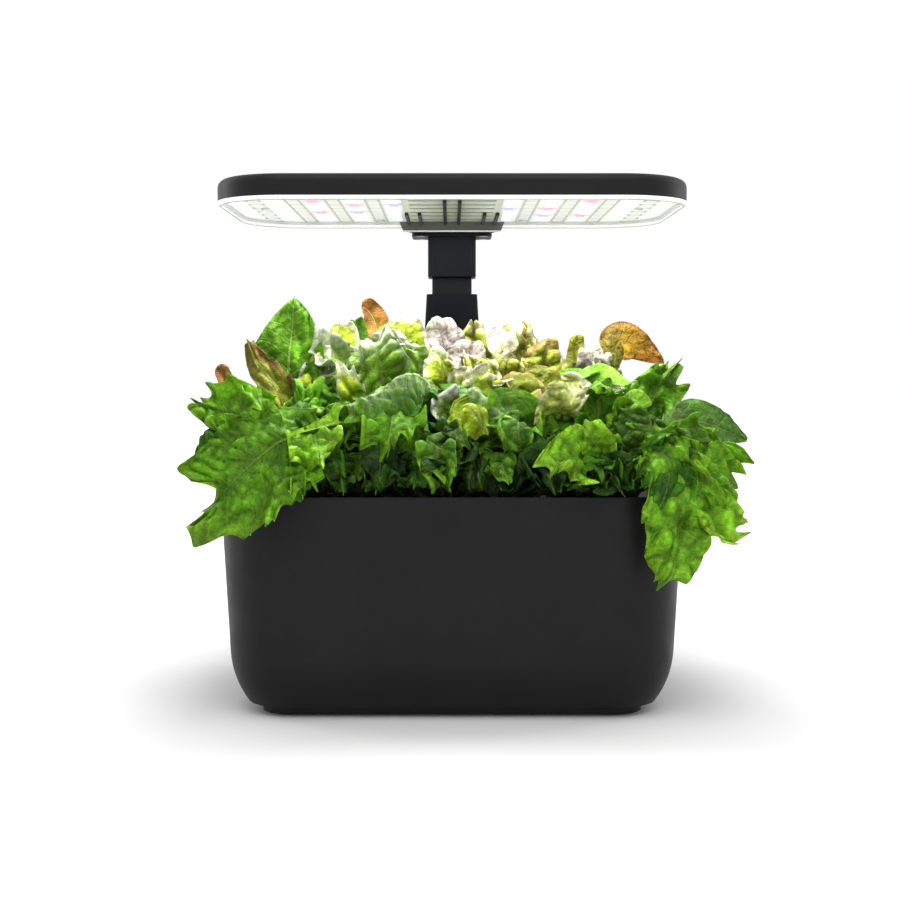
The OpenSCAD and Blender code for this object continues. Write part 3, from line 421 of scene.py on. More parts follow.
# -----
# Lamp lead. A springy coil inside the mast, wound on a mandrel and set by heat,
# so that it stretches when the mast is pulled up; its straight end enters the lamp.
lead_low, lead_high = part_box("lamp_lead")
lead_radius = 1.1 * mm
coil_radius = 3.2 * mm
mast_y = 0.054
sleeve_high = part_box("head_sleeve")[1]
coil_low, coil_high = lead_low.z + lead_radius, sleeve_high.z - 12 * mm
turns, steps = 34, 34 * 12
coil_points = []
for step in range(steps + 1):
    share = step / steps
    angle = share * turns * 2 * math.pi
    across, back = coil_radius * math.cos(angle), coil_radius * math.sin(angle)
    coil_points.append((across, mast_y + back, coil_low + share * (coil_high - coil_low)))
for height in (coil_high + 4 * mm, coil_high + 9 * mm, coil_high + 17 * mm, lead_high.z):
    coil_points.append((0, mast_y, height))
route = bpy.data.curves.new("lamp_lead_route", "CURVE")
route.dimensions = "3D"
strand = route.splines.new("POLY")
strand.points.add(len(coil_points) - 1)
for point, place in zip(strand.points, coil_points):
    point.co = (*place, 1)
route.bevel_depth = lead_radius
route.bevel_resolution = 2
route.use_fill_caps = True
coil = new_object("coiled_lamp_lead", route)
only(coil)
bpy.ops.object.convert(target="MESH")
coil = bpy.context.object
bpy.ops.object.shade_smooth_by_angle(angle=math.radians(50))
coat(coil, black_lead)
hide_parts("lamp_lead")
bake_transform(coil)

# -----
# Lamp bracket. A thin black plate and a grey glass-filled nylon wedge carry the
# lamp; ribs run forward from it under the vent, and four screws go up through all.


def axes(place):
    """The x, y and z of a place."""
    return add_node(place.id_data, "SeparateXYZ", {0: place}).outputs


def repaint(material, mask, colour):
    """Lays another colour over a finish where the mask is 1."""
    shader = shader_of(material)
    under = shader.inputs["Base Color"].links[0].from_socket
    feed(shader, {"Base Color": mix_colours(mask, under, colour)})


def thin_to_back(piece, slope, beyond):
    """Draws the underside of a plate's wings up toward the back, as a moulding is tapered to leave its tool."""
    low = min(v.co.z for v in piece.data.vertices)
    high = max(v.co.z for v in piece.data.vertices)
    for v in piece.data.vertices:
        if abs(v.co.x) > beyond:
            v.co.z += slope * max(0, v.co.y - wedge_front) * (high - v.co.z) / (high - low)


wedge_front = 34 * mm
plate_black = plastic("plate_black", (0.005, 0.005, 0.005), 0.5, 1500, 0.02, 0.04)
eased("bracket_plate", "bracket_spacer", 0.3, "light", plate_black)
# Frosted glass-filled nylon; the thin ribs are painted darker, painted shade where they lie under the lamp
nylon = plastic("glass_filled_nylon", (0.19, 0.19, 0.185), 0.6, 1100, 0.05, 0.12, 0.16)
repaint(nylon, calculate("LESS_THAN", axes(place_in(nylon))[1], wedge_front - 0.3 * mm), (0.03, 0.03, 0.03))
wedge = eased("lamp_bracket", "lamp_bracket_moulding", 0.35, "light", nylon)
thin_to_back(wedge, 0.11, 24.5 * mm)
dress(turned_metal("dark_screw_plate", (0.12, 0.12, 0.12), 0.4), "bracket_screws")

# -----
# Lamp head. The aluminium spreader carries a white board of lights in columns
# between white rails; a clear lens and a white bezel close it from below.
lamp_low, lamp_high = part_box("lamp_bezel")
lamp_middle_y = (lamp_low.y + lamp_high.y) / 2
lamp_half = (lamp_high - lamp_low) / 2
lamp_corner = 40 * mm
column_pitch = 22.5 * mm
row_pitch = (lamp_high.y - lamp_low.y - 50 * mm) / 6
red_places = [(-4, 1), (-3, 2), (-4, 4), (3, 1), (2, 3), (3, 5)]
blue_places = [(-3, 4), (-2, 2), (2, 5), (1, 3)]


def plus(*values):
    return calculate("ADD", *values)


def minus(*values):
    return calculate("SUBTRACT", *values)


def unsigned(value):
    return calculate("ABSOLUTE", value)


def lamp_inset(place):
    """How far a point lies inside the lamp's rounded outline, in metres."""
    folded_in = vector_sum("ABSOLUTE", vector_sum("SUBTRACT", place, (0, lamp_middle_y, 0)))
    corner_middle = (lamp_half.x - lamp_corner, lamp_half.y - lamp_corner, 9)
    beyond = vector_sum("MAXIMUM", vector_sum("SUBTRACT", folded_in, corner_middle), (0, 0, 0))
    return minus(lamp_corner, vector_sum("LENGTH", beyond))


def from_whole(value):
    return unsigned(minus(value, calculate("ROUND", value)))


# White solder mask with pale grey rails printed beside each column; the board has a painted glow, and pools of red and
# blue round the coloured lamps are painted light
board_white, shader, place = new_finish("white_light_board")
across, along, _ = axes(place)
column = calculate("DIVIDE", across, column_pitch)
aside = times(from_whole(column), column_pitch)
from_rail = unsigned(minus(aside, 4 * mm))
rail = remap(from_rail, 0.6 * mm, 1.2 * mm, 0.8, 0)
from_row = from_whole(calculate("DIVIDE", minus(along, lamp_middle_y), row_pitch))
between_rails = remap(aside, 3.6 * mm, 4.2 * mm, 1, 0)
rung = times(remap(from_row, 0.1, 0.18, 0.55, 0.2), between_rails)
outer = calculate("GREATER_THAN", unsigned(column), 4.5)  # the outer rails are dashed
dashes = times(remap(from_row, 0.2, 0.3, 1.6, 0), outer)
rail = times(rail, plus(minus(1, outer), dashes))
lines = calculate("MINIMUM", plus(rail, rung), 1)
colour = mix_colours(lines, (0.98, 0.985, 0.96), (0.36, 0.37, 0.34))
# Painted light: a pool of red or blue on the board round each coloured lamp
for places, tint in ((red_places, (0.95, 0.42, 0.54)), (blue_places, (0.52, 0.5, 0.9))):
    for cell, line in places:
        lamp_place = ((cell + 0.5) * column_pitch, lamp_middle_y + (line - 3) * row_pitch, 0)
        from_lamp = vector_sum("SUBTRACT", place, lamp_place)
        far = vector_sum("LENGTH", vector_sum("MULTIPLY", from_lamp, (1 / (9 * mm), 1 / (9 * mm), 0)))
        colour = mix_colours(remap(far, 0.35, 1.15, 0.85, 0, True), colour, tint)
rough = speckle(place, 300, 2, 0.4, 0.55)
# The board's Emission Strength is a painted glow
feed(shader, {"Base Color": colour, "Emission Color": colour, "Emission Strength": 0.3, "Roughness": rough})
dress(board_white, "led_board")
lamp_colours = {"white": ((1, 1, 0.94), 0.95), "red": ((0.95, 0.36, 0.46), 0.8), "blue": ((0.45, 0.42, 0.9), 0.8)}
for name, (colour, glow) in lamp_colours.items():
    dress(plastic(name + "_chip", colour, 0.4, 900, 0.02, glow=glow), name + "_leds")
dress(turned_metal("rolled_aluminium", (0.78, 0.78, 0.79), 0.42, 500), "heat_spreader")
dress(zinc, "lamp_screws")

# The white bezel is given a painted glow, as if the lamps lit it from within; the underside of its inner bead is
# painted grey, a line of painted shade along the lip.
bezel_painted_glow = 0.45
bezel_white = plastic("bezel_white_abs", (0.9, 0.9, 0.9), 0.4, 1500, 0.02, 0.5, 0.01)
place = place_in(bezel_white)
lowest = calculate("LESS_THAN", axes(place)[2], lamp_low.z - 0.05 * mm)
bead = times(lowest, calculate("GREATER_THAN", lamp_inset(place), 1 * mm))
repaint(bezel_white, bead, (0.6, 0.6, 0.58))
glow = times(minus(1, bead), bezel_painted_glow)
feed(shader_of(bezel_white), {"Emission Strength": glow})
ring = eased("lamp_bezel", "bezel_ring", 0.25, "light", bezel_white)
for v in ring.data.vertices:  # the lip ends in a small bead that hangs below the ring and holds the lens
    out_x = max(0, abs(v.co.x) - lamp_half.x + lamp_corner)
    out_y = max(0, abs(v.co.y - lamp_middle_y) - lamp_half.y + lamp_corner)
    if v.co.z < lamp_low.z + 0.5 * mm and lamp_corner - math.hypot(out_x, out_y) > 1.8 * mm:
        v.co.z -= 0.4 * mm

# Pale moulded grille with painted light and shade: white at its sides and paler toward its front as painted light,
# greyer where the bracket shades it and dark inside its slots as painted shade
grille = plastic("grille_abs", (0.62, 0.62, 0.6), 0.5, 1300, 0.03, 0.3, 0.03)
x, y, z = axes(place_in(grille))
sides = remap(unsigned(x), 10 * mm, 25 * mm)
repaint(grille, calculate("MAXIMUM", sides, remap(y, -20 * mm, -75 * mm, 0, 0.5)), (0.86, 0.86, 0.84))
repaint(grille, calculate("GREATER_THAN", z, lamp_low.z + 0.22 * mm), (0.22, 0.22, 0.22))
eased("vent_grille", "vent_slats", 0.2, "light", grille)

# Thin clear acrylic, faintly cool, that shows mainly by its gloss
acrylic, shader, place = new_finish("clear_lens_acrylic")
feed(shader, {
    "Base Color": mix_colours(speckle(place, 40, 2), (0.92, 0.95, 0.97), (0.97, 0.98, 0.98)),
    "Roughness": speckle(place, 90, 3, 0.06, 0.14),
    "Specular IOR Level": 0.2,
})
through = add_node(acrylic.node_tree, "BsdfTransparent", {"Color": (1, 1, 1)})
mixed_surface(acrylic.node_tree, "Material Output", 0.07, through, shader)
dress(acrylic, "lamp_lens")
housing = plastic("housing_abs", (0.0125, 0.0125, 0.0128), 0.44, 1500, 0.025, 0.16)
place = place_in(housing)
inner = calculate("GREATER_THAN", lamp_inset(place), 1.6 * mm)
under_cover = calculate("LESS_THAN", axes(place)[2], lamp_high.z + 4 * mm)
repaint(housing, times(inner, under_cover), (0.9, 0.9, 0.9))  # white inside, so that no light is lost
eased("lamp_housing", "lamp_cover", 0.35, "light", housing)

# -----
# Buttons. Two domed caps on the lamp's top: the pale one works the light and the
# blue-grey one the pump. Each is held by its flange under the cover.
for name, tone, colour in (("light", "pale", (0.66, 0.66, 0.65)), ("pump", "blue", (0.1, 0.21, 0.42))):
    button, cap_plastic = name + "_button", plastic(tone + "_button", colour, 0.42)
    eased(button, button + "_cap", 0.6, button, cap_plastic, 3)

# -----
# Deck. A thin black tray that lifts out with all six pods; a hinged lid closes
# the fill port, and the float's stem rises through its own small hole.
deck_black = plastic("deck_abs", (0.007, 0.0075, 0.006), 0.65, 1300, 0.03, 0.1)
eased("grow_deck", "deck_tray", 0.35, "deck", deck_black)
basket_black = plastic("basket_polypropylene", (0.01, 0.0105, 0.01), 0.55, 1000, 0.03, 0.15)
for pod in range(1, 7):
    eased(f"pod_basket_{pod}", f"basket_{pod}", 0.25, "deck", basket_black)
dress(turned_metal("lid_pin_steel", (0.62, 0.61, 0.58), 0.25), "lid_pin")
lid_black = plastic("lid_abs", (0.009, 0.009, 0.009), 0.6, 1500, 0.03, 0.12)
eased("fill_lid", "fill_port_lid", 0.4, "fill_lid", lid_black)
dress(plastic("guide_abs", (0.024, 0.024, 0.025), 0.45), "float_guide")
float_orange = plastic("float_orange_plastic", (0.74, 0.3, 0.05), 0.38, 600, 0.03)
eased("float", "water_float", 0.6, "float", float_orange, 3)
peat = open_foam("peat_foam", (0.065, 0.036, 0.018), 1.4 * mm)
worn_foam("grow_sponges", "grow_sponge_plugs", "deck", peat)

# -----
# Lettuces. Six heads, each grown round its crown: frilly green leaves droop over
# the tub's front corners, an upright one stands at the left, glossy and cream ones
# fill the middle, and smooth leaves point out at the right.
tub_low, tub_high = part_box("tub_shell")
post_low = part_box("mast_post")[0]
lobe_reach = 30
# In millimetres: the gap leaves keep from tub and mast, the tub's opening, and half the mast with its gap
leaf_gap, opening_side, opening_front, mast_side = 2.5, 122, -78, 24


def leaf_blank(along, across):
    """A flat sheet, divided along and across, that every leaf is shaped from."""
    bpy.ops.mesh.primitive_grid_add(x_subdivisions=across, y_subdivisions=along, size=2)
    return bpy.context.object


blanks = [leaf_blank(*sheet) for sheet in ((68, 50), (44, 32), (30, 20), (22, 16))]  # for broad to tiny leaves


def bend(points, share):
    """Place and direction along a rib that runs through four points, at each share of its length."""
    a, b, c, d = [np.array(q, float) for q in points]
    b, c = (18 * b - 5 * a - 9 * c + 2 * d) / 6, (2 * a - 9 * b + 18 * c - 5 * d) / 6
    t = share[:, None]
    place = (1 - t) ** 3 * a + 3 * (1 - t) ** 2 * t * b + 3 * (1 - t) * t**2 * c + t**3 * d
    way = 3 * (1 - t) ** 2 * (b - a) + 6 * (1 - t) * t * (c - b) + 3 * t**2 * (d - c)
    return place, way / np.linalg.norm(way, axis=1)[:, None]


def ripple(points, size, chance, waves=6):
    """Smooth uneven swell between -1 and 1, with bumps of that size in millimetres."""
    total = np.zeros(len(points))
    for _ in range(waves):
        way = chance.normal(size=3)
        way *= 2 * math.pi / size / np.linalg.norm(way) * chance.uniform(0.7, 1.4)
        total += np.sin(points @ way + chance.uniform(0, 6.28))
    return total / waves * 1.6


def smooth_step(value, low, high):
    t = np.clip((value - low) / (high - low), 0, 1)
    return t * t * (3 - 2 * t)


# Breadth at the stalk, where the blade widens from and to, where its end starts to close, how fast, how bluntly
outlines = {
    "fan": (0.1, 0, 0.55, 0.62, 0.5, 2),  # crinkled leaf that widens almost to its end
    "spoon": (0.12, 0.02, 0.64, 0.58, 0.42, 2.3),  # upright leaf, narrow below and broad above
    "round": (0.1, -0.1, 0.5, 0.45, 0.55, 3),  # a long stalk and a blade with a blunt, rounded end
}


def half_width(shape, share, stalk):
    """Half breadth of a leaf along its rib, as a share of its widest."""
    blade = np.clip((share - stalk) / (1 - stalk), 0, 1)
    if shape == "oval":  # a stalk and an even blade
        return 0.07 + 0.93 * np.sin(np.clip(blade, 0, 0.985) ** 0.85 * math.pi) ** 0.7
    foot, widens_from, widens_to, closes_from, closing, blunt = outlines[shape]
    end = np.clip(1 - (np.clip(blade - closes_from, 0, 1) / closing) ** blunt, 0.01, 1)
    return (foot + (1 - foot) * smooth_step(blade, widens_from, widens_to)) * np.sqrt(end)


def points_out(turn):
    """Pointed teeth with round notches between them."""
    return (1 - np.abs(np.sin(turn / 2))) ** 1.25


def clear_of_frame(spot):
    """Keeps a leaf out of the tub's wall and off the mast."""
    x, y, z = spot.T
    front, side, post = tub_low.y / mm, tub_high.x / mm, post_low.y / mm
    rim_top = tub_high.z / mm + leaf_gap
    low = z < rim_top
    outside = (y < front + 1.5) | (np.abs(x) > side - 1.5)
    in_front = low & (y < opening_front - 1) & (y < front + 1.5)
    y[:] = np.where(in_front, np.minimum(y, front - leaf_gap), y)
    over_wall = low & ~outside & ((np.abs(x) > opening_side) | (y < opening_front))
    z[:] = np.where(over_wall, rim_top - (rim_top - z) * 0.1, z)
    in_mast = (np.abs(x) < mast_side) & (y > post - leaf_gap)
    y[:] = np.where(in_mast, post - leaf_gap - 0.1 * (y - post), y)
    return np.stack([x, y, z], 1)


# How a leaf grows: crinkled and toothed, broad, ruffled like a curl, cupped, folded over its rib, smooth, tall
curly = dict(shape="fan", stalk=0.05, frill=5, waves=12, lobes=6, teeth=4, cup=0, fold=0, crinkle=1, gloss=0.3)
curly.update(crest=0, arms=())
broad = dict(curly, frill=3.5, waves=9, lobes=4, teeth=2.5, gloss=0.35)
ruffled = dict(curly, frill=6, waves=9, lobes=3, teeth=1.5, crinkle=1.2, gloss=0.4)
cupped = dict(curly, stalk=0.45, frill=1.5, waves=6, lobes=1, teeth=0.8, cup=0.6, crinkle=0.6)
folded = dict(curly, frill=4, waves=10, lobes=3, fold=-0.7, cup=-0.3, gloss=0.6)
smooth = dict(curly, shape="oval", frill=0.8, waves=3, lobes=0, teeth=0, crinkle=0.35, gloss=0.6)
tall = dict(smooth, shape="spoon", stalk=0.12, frill=1.4, waves=5, teeth=0.5, cup=0.12, crinkle=0.6, gloss=0.4)
# The pale green of a painted sheen along the crest of a folded leaf
crest_painted_sheen = np.array((0.62, 0.8, 0.36))


def leaf(crown, seed, foot, low, high, tip, breadth, colours, habit=curly, facing=(0, -1, 0.3), tiny=False):
    """One leaf. foot, low, high, tip: what its rib runs through, in millimetres from the crown; breadth: half its
    width; habit: how its edge ruffles, parts and cups; facing: the way its face looks."""
    chance = np.random.default_rng(seed)
    frill, lobes, teeth = [habit[k] * min(1, breadth / 15) for k in ("frill", "lobes", "teeth")]
    blank = blanks[3 if breadth < 7.5 else 2 if breadth < 12.5 or tiny else 1 if breadth < 16.5 else 0]
    made = new_object("leaf", blank.data.copy())
    flat = np.zeros(len(made.data.vertices) * 3)
    made.data.vertices.foreach_get("co", flat)
    flat = flat.reshape(-1, 3)
    across = 0.55 * np.sin(flat[:, 0] * math.pi / 2) + 0.45 * flat[:, 0]
    along = 1 - (1 - (flat[:, 1] + 1) / 2) ** 1.35
    path = [np.array(crown) + q for q in ((*foot, 0), low, high, tip)]
    length = sum(np.linalg.norm(path[i + 1] - path[i]) for i in range(3))
    half = breadth * half_width(habit["shape"], along, habit["stalk"])
    dip = half / length * (1 - np.sqrt(1 - 0.97 * across**2)) * smooth_step(along, 0.5, 1.0)
    place, way = bend(path, np.clip(along - dip, 0, 1))
    edge_way = np.cross(way, np.array(facing, float) / np.linalg.norm(facing))
    edge_way /= np.linalg.norm(edge_way, axis=1)[:, None]
    up = np.cross(edge_way, way)
    # Nearness to the rim, and the bearing round the blade that lobes, ruffles and teeth run by
    start = habit["stalk"]
    to_side, to_end = np.abs(across), np.clip((along - 0.5) * 2, 0, 1)
    rim = np.clip((to_side**5 + to_end**5) ** 0.2, 0, 1) * smooth_step(along, start, start + 0.2)
    bearing = np.arctan2(across * breadth * 1.05, (along - 0.35 - 0.5 * start) * length)
    round_blade = np.stack([np.cos(bearing), np.sin(bearing), bearing * 0], 1)
    uneven = ripple(round_blade * lobe_reach, lobe_reach, chance, 4)
    phase = habit["waves"] * bearing + 1.2 * uneven + chance.uniform(0, 6.28)
    second = np.sin(2.6 * phase + 1.3 * np.sin(bearing * 3 + seed))
    lift = frill * (rim**2.2 * np.sin(phase) + 0.6 * rim**5 * second)
    lift += 0.3 * frill * rim * np.sin(1.7 * phase + seed)
    lobe = np.cos(0.45 * phase + 1.2 * uneven + seed)
    spread = rim**3 * lobes * (np.sign(lobe) * np.abs(lobe) ** 0.7 * 0.5 - 0.1) * (1 + 0.4 * uneven)
    for turned, reach, wide in habit["arms"]:
        spread += rim**3 * reach * np.exp(-(((np.degrees(bearing) - turned) / wide) ** 2))
    spread += rim**6 * teeth * (points_out(3.1 * phase + 2.2 * uneven) * 1.6 - 0.5) * (1 + 0.5 * uneven)
    swirl = rim**2.2 * np.cos(phase) * 0.5 * frill
    slide_across = np.sin(bearing) * spread + np.cos(bearing) * swirl
    slide_along = np.cos(bearing) * spread - np.sin(bearing) * swirl
    spot = place + edge_way * (half * across)[:, None]
    grown = smooth_step(along, start + 0.02, start + 0.3) * habit["crinkle"]
    swell = ripple(spot, 26, chance) * 4 * grown
    puff = np.abs(ripple(spot, 10, chance)) * (1 - np.exp(-to_side * 7))
    lift += swell + puff * 4.4 * grown + half * (habit["cup"] * across**2 + habit["fold"] * to_side)
    moved = edge_way * slide_across[:, None] + way * slide_along[:, None] + up * lift[:, None]
    spot = clear_of_frame(spot + moved)
    made.data.vertices.foreach_set("co", (spot * mm).ravel())
    # Colours: body, edge and heart, mottled; painted shade in the hollows between the puffs, a painted sheen along the
    # crest of a folded leaf, and painted shade low down among the stalks
    body, edge, heart = (np.array(c, float) for c in colours[:3])
    mottle = ripple(spot, 20, chance)[:, None] * 0.5 + 0.5
    tint = body * (0.72 + 0.56 * mottle)
    edge_mix = smooth_step(rim, colours[3], colours[3] + 0.3) * np.clip(0.75 + 0.5 * uneven, 0, 1)
    heart_mix = 1 - smooth_step(along, start, start + 0.45)
    streak = 0.62 + 0.38 * np.sin(along * length * 1.1 - to_side * 5 + 2 * uneven)
    # A painted sheen in streaks along the crest of a folded leaf
    crest = habit["crest"] * np.exp(-((across / 0.3) ** 2)) * streak * smooth_step(along, 0.2, 0.4)
    for share, colour in ((edge_mix, edge), (heart_mix, heart)):
        tint = tint * (1 - share[:, None]) + colour * share[:, None]
    # Painted shade: darker between the puffs
    tint *= (1 - 0.5 * (1 - np.clip(puff * 1.8, 0, 1)) * grown)[:, None] * 1.06
    tint = tint * (1 - crest[:, None]) + crest_painted_sheen * crest[:, None]
    # Painted shade low down among the stalks, within the tub
    within = (np.abs(spot[:, 0]) < tub_high.x / mm - 8) & (spot[:, 1] > tub_low.y / mm + 2)
    painted_shade_fade = smooth_step(spot[:, 2] - tub_high.z / mm, -4, 38)
    tint *= np.where(within, 0.22 + 0.78 * painted_shade_fade, 1)[:, None]
    gloss = np.full((len(tint), 1), habit["gloss"])
    paint = made.data.color_attributes.new("leaf_tint", "FLOAT_COLOR", "POINT")
    paint.data.foreach_set("color", np.concatenate([np.clip(tint, 0, 1), gloss], 1).ravel())
    where = made.data.attributes.new("leaf_place", "FLOAT_VECTOR", "POINT")
    where.data.foreach_set("vector", (np.stack([half * across, along * length, rim * 1000], 1) * mm).ravel())
    return made


def rosette(crown, count, reach, height, breadth, colours, seed, skip=(), low=0.35):
    """The leaves that fill a head, from the upright heart to the outer ones that lean away."""
    chance = np.random.default_rng(seed)
    leaves = []
    for k in range(count):
        angle = math.radians(137.5 * k + chance.uniform(-14, 14) + seed * 40)
        if any(start <= math.degrees(angle) % 360 <= stop for start, stop in skip):
            continue
        outer = ((k + 1) / count) ** 0.7
        far = reach * (0.3 + 0.7 * outer) * chance.uniform(0.88, 1.12)
        top = height * (1.02 - (1 - low) * outer) * chance.uniform(0.9, 1.1)
        way = np.array([math.cos(angle), math.sin(angle), 0])
        steps = ((far * 0.35, 0.62), (far * 0.75, 1), (far * 1.1, 1 - 0.35 * outer))
        path = [way * out + [0, 0, top * rise] for out, rise in steps]
        habit = dict(curly, waves=int(chance.integers(7, 11)), cup=0.15 - 0.3 * outer)
        facing = (-way[0], -way[1], 1.2 * top / far * 0.6 + 0.3)
        wide = breadth * (0.6 + 0.4 * outer) * chance.uniform(0.85, 1.15)
        tint = colours[k % len(colours)]
        leaves.append(leaf(crown, seed * 100 + k, way[:2] * 2, *path, wide, tint, habit, facing, True))
    return leaves


def leaf_skin(name, vein=0.4, back=0.16, blister=7.5, rib_width=1.4, rib_pale=0.4):
    """Living leaf: pale rib and branching veins, a net of fine ones, puffed between them, and light through it."""
    made, shader, place = new_finish(name)
    tree = made.node_tree
    painted = add_node(tree, "Attribute", {}, attribute_name="leaf_tint").outputs
    spot = add_node(tree, "Attribute", {}, attribute_name="leaf_place").outputs["Vector"]
    signed, along, _ = axes(spot)
    wander = speckle(place, 90, 2, -1.6 * mm, 1.6 * mm, (0.2, 0.8))
    aside = unsigned(plus(signed, times(wander, 0.25)))
    taper = remap(along, 0, 0.1, rib_width * mm, 0.25 * mm)
    rib = remap(calculate("DIVIDE", aside, taper), 0.6, 1.3, 1, 0, True)
    # Branches slant off the rib, out of step on its two sides
    shift = times(calculate("GREATER_THAN", signed, 0), 0.5)
    slant = plus(minus(along, times(aside, 0.85)), wander)
    phase = plus(calculate("DIVIDE", slant, 9.5 * mm), shift)
    branch = remap(calculate("PINGPONG", phase, 0.5), 0.015, 0.085, 1, 0, True)
    # The net of fine veins, pulled about by a noise
    noise = {"Scale": 260, "Detail": 2, "Vector": place}
    drift = add_node(tree, "TexNoise", noise).outputs["Color"]
    pulled = vector_sum("MULTIPLY_ADD", drift, (0.007, 0.007, 0.007), place)
    mesh = {"Scale": 1000 / (blister * 0.6), "Vector": pulled}
    net = add_node(tree, "TexVoronoi", mesh, feature="DISTANCE_TO_EDGE").outputs["Distance"]
    fine = remap(net, 0.0, 0.08, 0.5, 0, True)
    # The dimples between the fine veins are darkened: painted shade
    painted_dimple_shade = remap(net, 0.02, 0.3, 0.8, 1.08, True)
    veins = calculate("MINIMUM", plus(times(branch, 0.8), fine), 1)
    clouds = times(speckle(place, 70, 3, 0.62, 1.35), speckle(place, 330, 3, 0.8, 1.2))
    shaded = vector_sum("MULTIPLY", painted["Color"], times(clouds, painted_dimple_shade))
    lit = vector_sum("MULTIPLY_ADD", painted["Color"], (1.5, 1.35, 1.5), (0.07, 0.08, 0.015))
    surface = mix_colours(times(veins, vein), shaded, lit)
    rib_green = mix_colours(0.4, lit, (0.5, 0.66, 0.2))
    ribbed = mix_colours(times(rib, rib_pale), surface, rib_green)
    dull = remap(painted["Alpha"], 0, 1, 0.62, 0.22)
    lumps = {"Scale": 1000 / blister, "Smoothness": 0.5, "Vector": pulled}
    puffs = add_node(tree, "TexVoronoi", lumps, feature="SMOOTH_F1")
    raised = relief(puffs.outputs["Distance"], -2.4 * mm, 0.85)
    ridged = relief(rib, 0.8 * mm, 0.7, Normal=relief(veins, -0.5 * mm, 0.8, Normal=raised))
    feed(shader, {
        "Base Color": ribbed,
        "Roughness": times(dull, speckle(place, 160, 3, 0.85, 1.25)),
        "Specular IOR Level": 0.24,
        "Normal": ridged,
    })
    through = {"Color": mix_colours(0.4, ribbed, (0.45, 0.62, 0.03)), "Normal": ridged}
    lit_through = add_node(tree, "BsdfTranslucent", through)
    mixed_surface(tree, "Material Output", back, shader, lit_through)
    return made


def plant(number, rows, filling, material):
    """Grows a head's leaves, joins them, gives them their thickness and sets the head in its pod."""
    low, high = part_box(f"pod_basket_{number}")
    crown = ((low.x + high.x) / 2 / mm, (low.y + high.y) / 2 / mm, high.z / mm)
    leaves = [leaf(crown, number * 20 + k, *row) for k, row in enumerate(rows)] + rosette(crown, *filling)
    # A low ring of small leaves round the crown above the rim; those in the shade green are painted shade
    leaves += rosette(crown, 8, 42, 26, 15, [shade, deep, moss], number + 50, low=0.8)
    only(leaves[0])
    for one in leaves:
        one.select_set(True)
    bpy.ops.object.join()
    head = bpy.context.object
    head.name = f"lettuce_head_{number}"
    body = head.modifiers.new("leaf_thickness", "SOLIDIFY")
    body.thickness = 0.45 * mm
    body.offset = 0
    apply_all(head)
    bpy.ops.object.shade_smooth()
    coat(head, material)
    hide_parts(f"lettuce_{number}")
    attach(head, "deck")


# Leaf colours: body, edge, heart, and how near the rim the edge colour starts. The near-white edges of frost, silver,
# straw, lime, butter, cream and lilac are partly the leaves' own pale rims and partly painted highlight where the grow
# light catches their ruffles
frilly = ((0.165, 0.45, 0.013), (0.27, 0.6, 0.02), (0.11, 0.3, 0.012), 0.7)
fresh = ((0.22, 0.56, 0.018), (0.34, 0.7, 0.03), (0.12, 0.34, 0.013), 0.7)
bright = ((0.33, 0.76, 0.028), (0.48, 0.9, 0.05), (0.19, 0.48, 0.02), 0.7)
vivid = ((0.22, 0.56, 0.014), (0.3, 0.66, 0.02), (0.14, 0.4, 0.012), 0.7)
pale = ((0.34, 0.56, 0.1), (0.5, 0.66, 0.26), (0.2, 0.38, 0.03), 0.65)
deep = ((0.06, 0.24, 0.008), (0.13, 0.4, 0.012), (0.04, 0.15, 0.006), 0.7)
dull = ((0.06, 0.15, 0.01), (0.11, 0.27, 0.014), (0.07, 0.15, 0.01), 0.72)
# shade: a near-black green, painted shade on low leaves in the shadow by the rim
shade = ((0.02, 0.09, 0.003), (0.05, 0.16, 0.006), (0.012, 0.05, 0.002), 0.7)
moss = ((0.1, 0.28, 0.009), (0.22, 0.52, 0.022), (0.07, 0.18, 0.007), 0.7)
glossy = ((0.085, 0.28, 0.008), (0.24, 0.54, 0.03), (0.09, 0.24, 0.009), 0.7)
frost = ((0.34, 0.56, 0.1), (0.97, 0.98, 0.88), (0.14, 0.36, 0.02), 0.62)
silver = ((0.24, 0.42, 0.04), (0.84, 0.92, 0.68), (0.2, 0.42, 0.03), 0.68)
straw = ((0.72, 0.8, 0.18), (0.97, 0.95, 0.7), (0.4, 0.6, 0.05), 0.72)
romaine = ((0.14, 0.36, 0.012), (0.16, 0.4, 0.016), (0.08, 0.2, 0.008), 0.8)
ovate = ((0.11, 0.27, 0.03), (0.1, 0.26, 0.03), (0.2, 0.42, 0.07), 0.85)
limey = ((0.42, 0.6, 0.02), (0.5, 0.68, 0.04), (0.2, 0.4, 0.02), 0.7)
lime = ((0.66, 0.8, 0.06), (0.96, 0.97, 0.8), (0.28, 0.5, 0.02), 0.72)
butter = ((0.62, 0.66, 0.12), (0.95, 0.92, 0.76), (0.3, 0.44, 0.03), 0.62)
cream = ((0.36, 0.42, 0.03), (0.88, 0.8, 0.48), (0.22, 0.32, 0.02), 0.7)
lilac = ((0.7, 0.58, 0.56), (0.94, 0.9, 0.7), (0.46, 0.54, 0.08), 0.62)
olive = ((0.4, 0.42, 0.03), (0.26, 0.13, 0.04), (0.2, 0.26, 0.02), 0.6)
bronze = ((0.46, 0.26, 0.012), (0.36, 0.1, 0.012), (0.16, 0.16, 0.02), 0.72)
tinged = ((0.4, 0.46, 0.05), (0.6, 0.34, 0.13), (0.26, 0.34, 0.02), 0.74)
rust = ((0.62, 0.32, 0.06), (0.4, 0.15, 0.04), (0.3, 0.26, 0.03), 0.6)

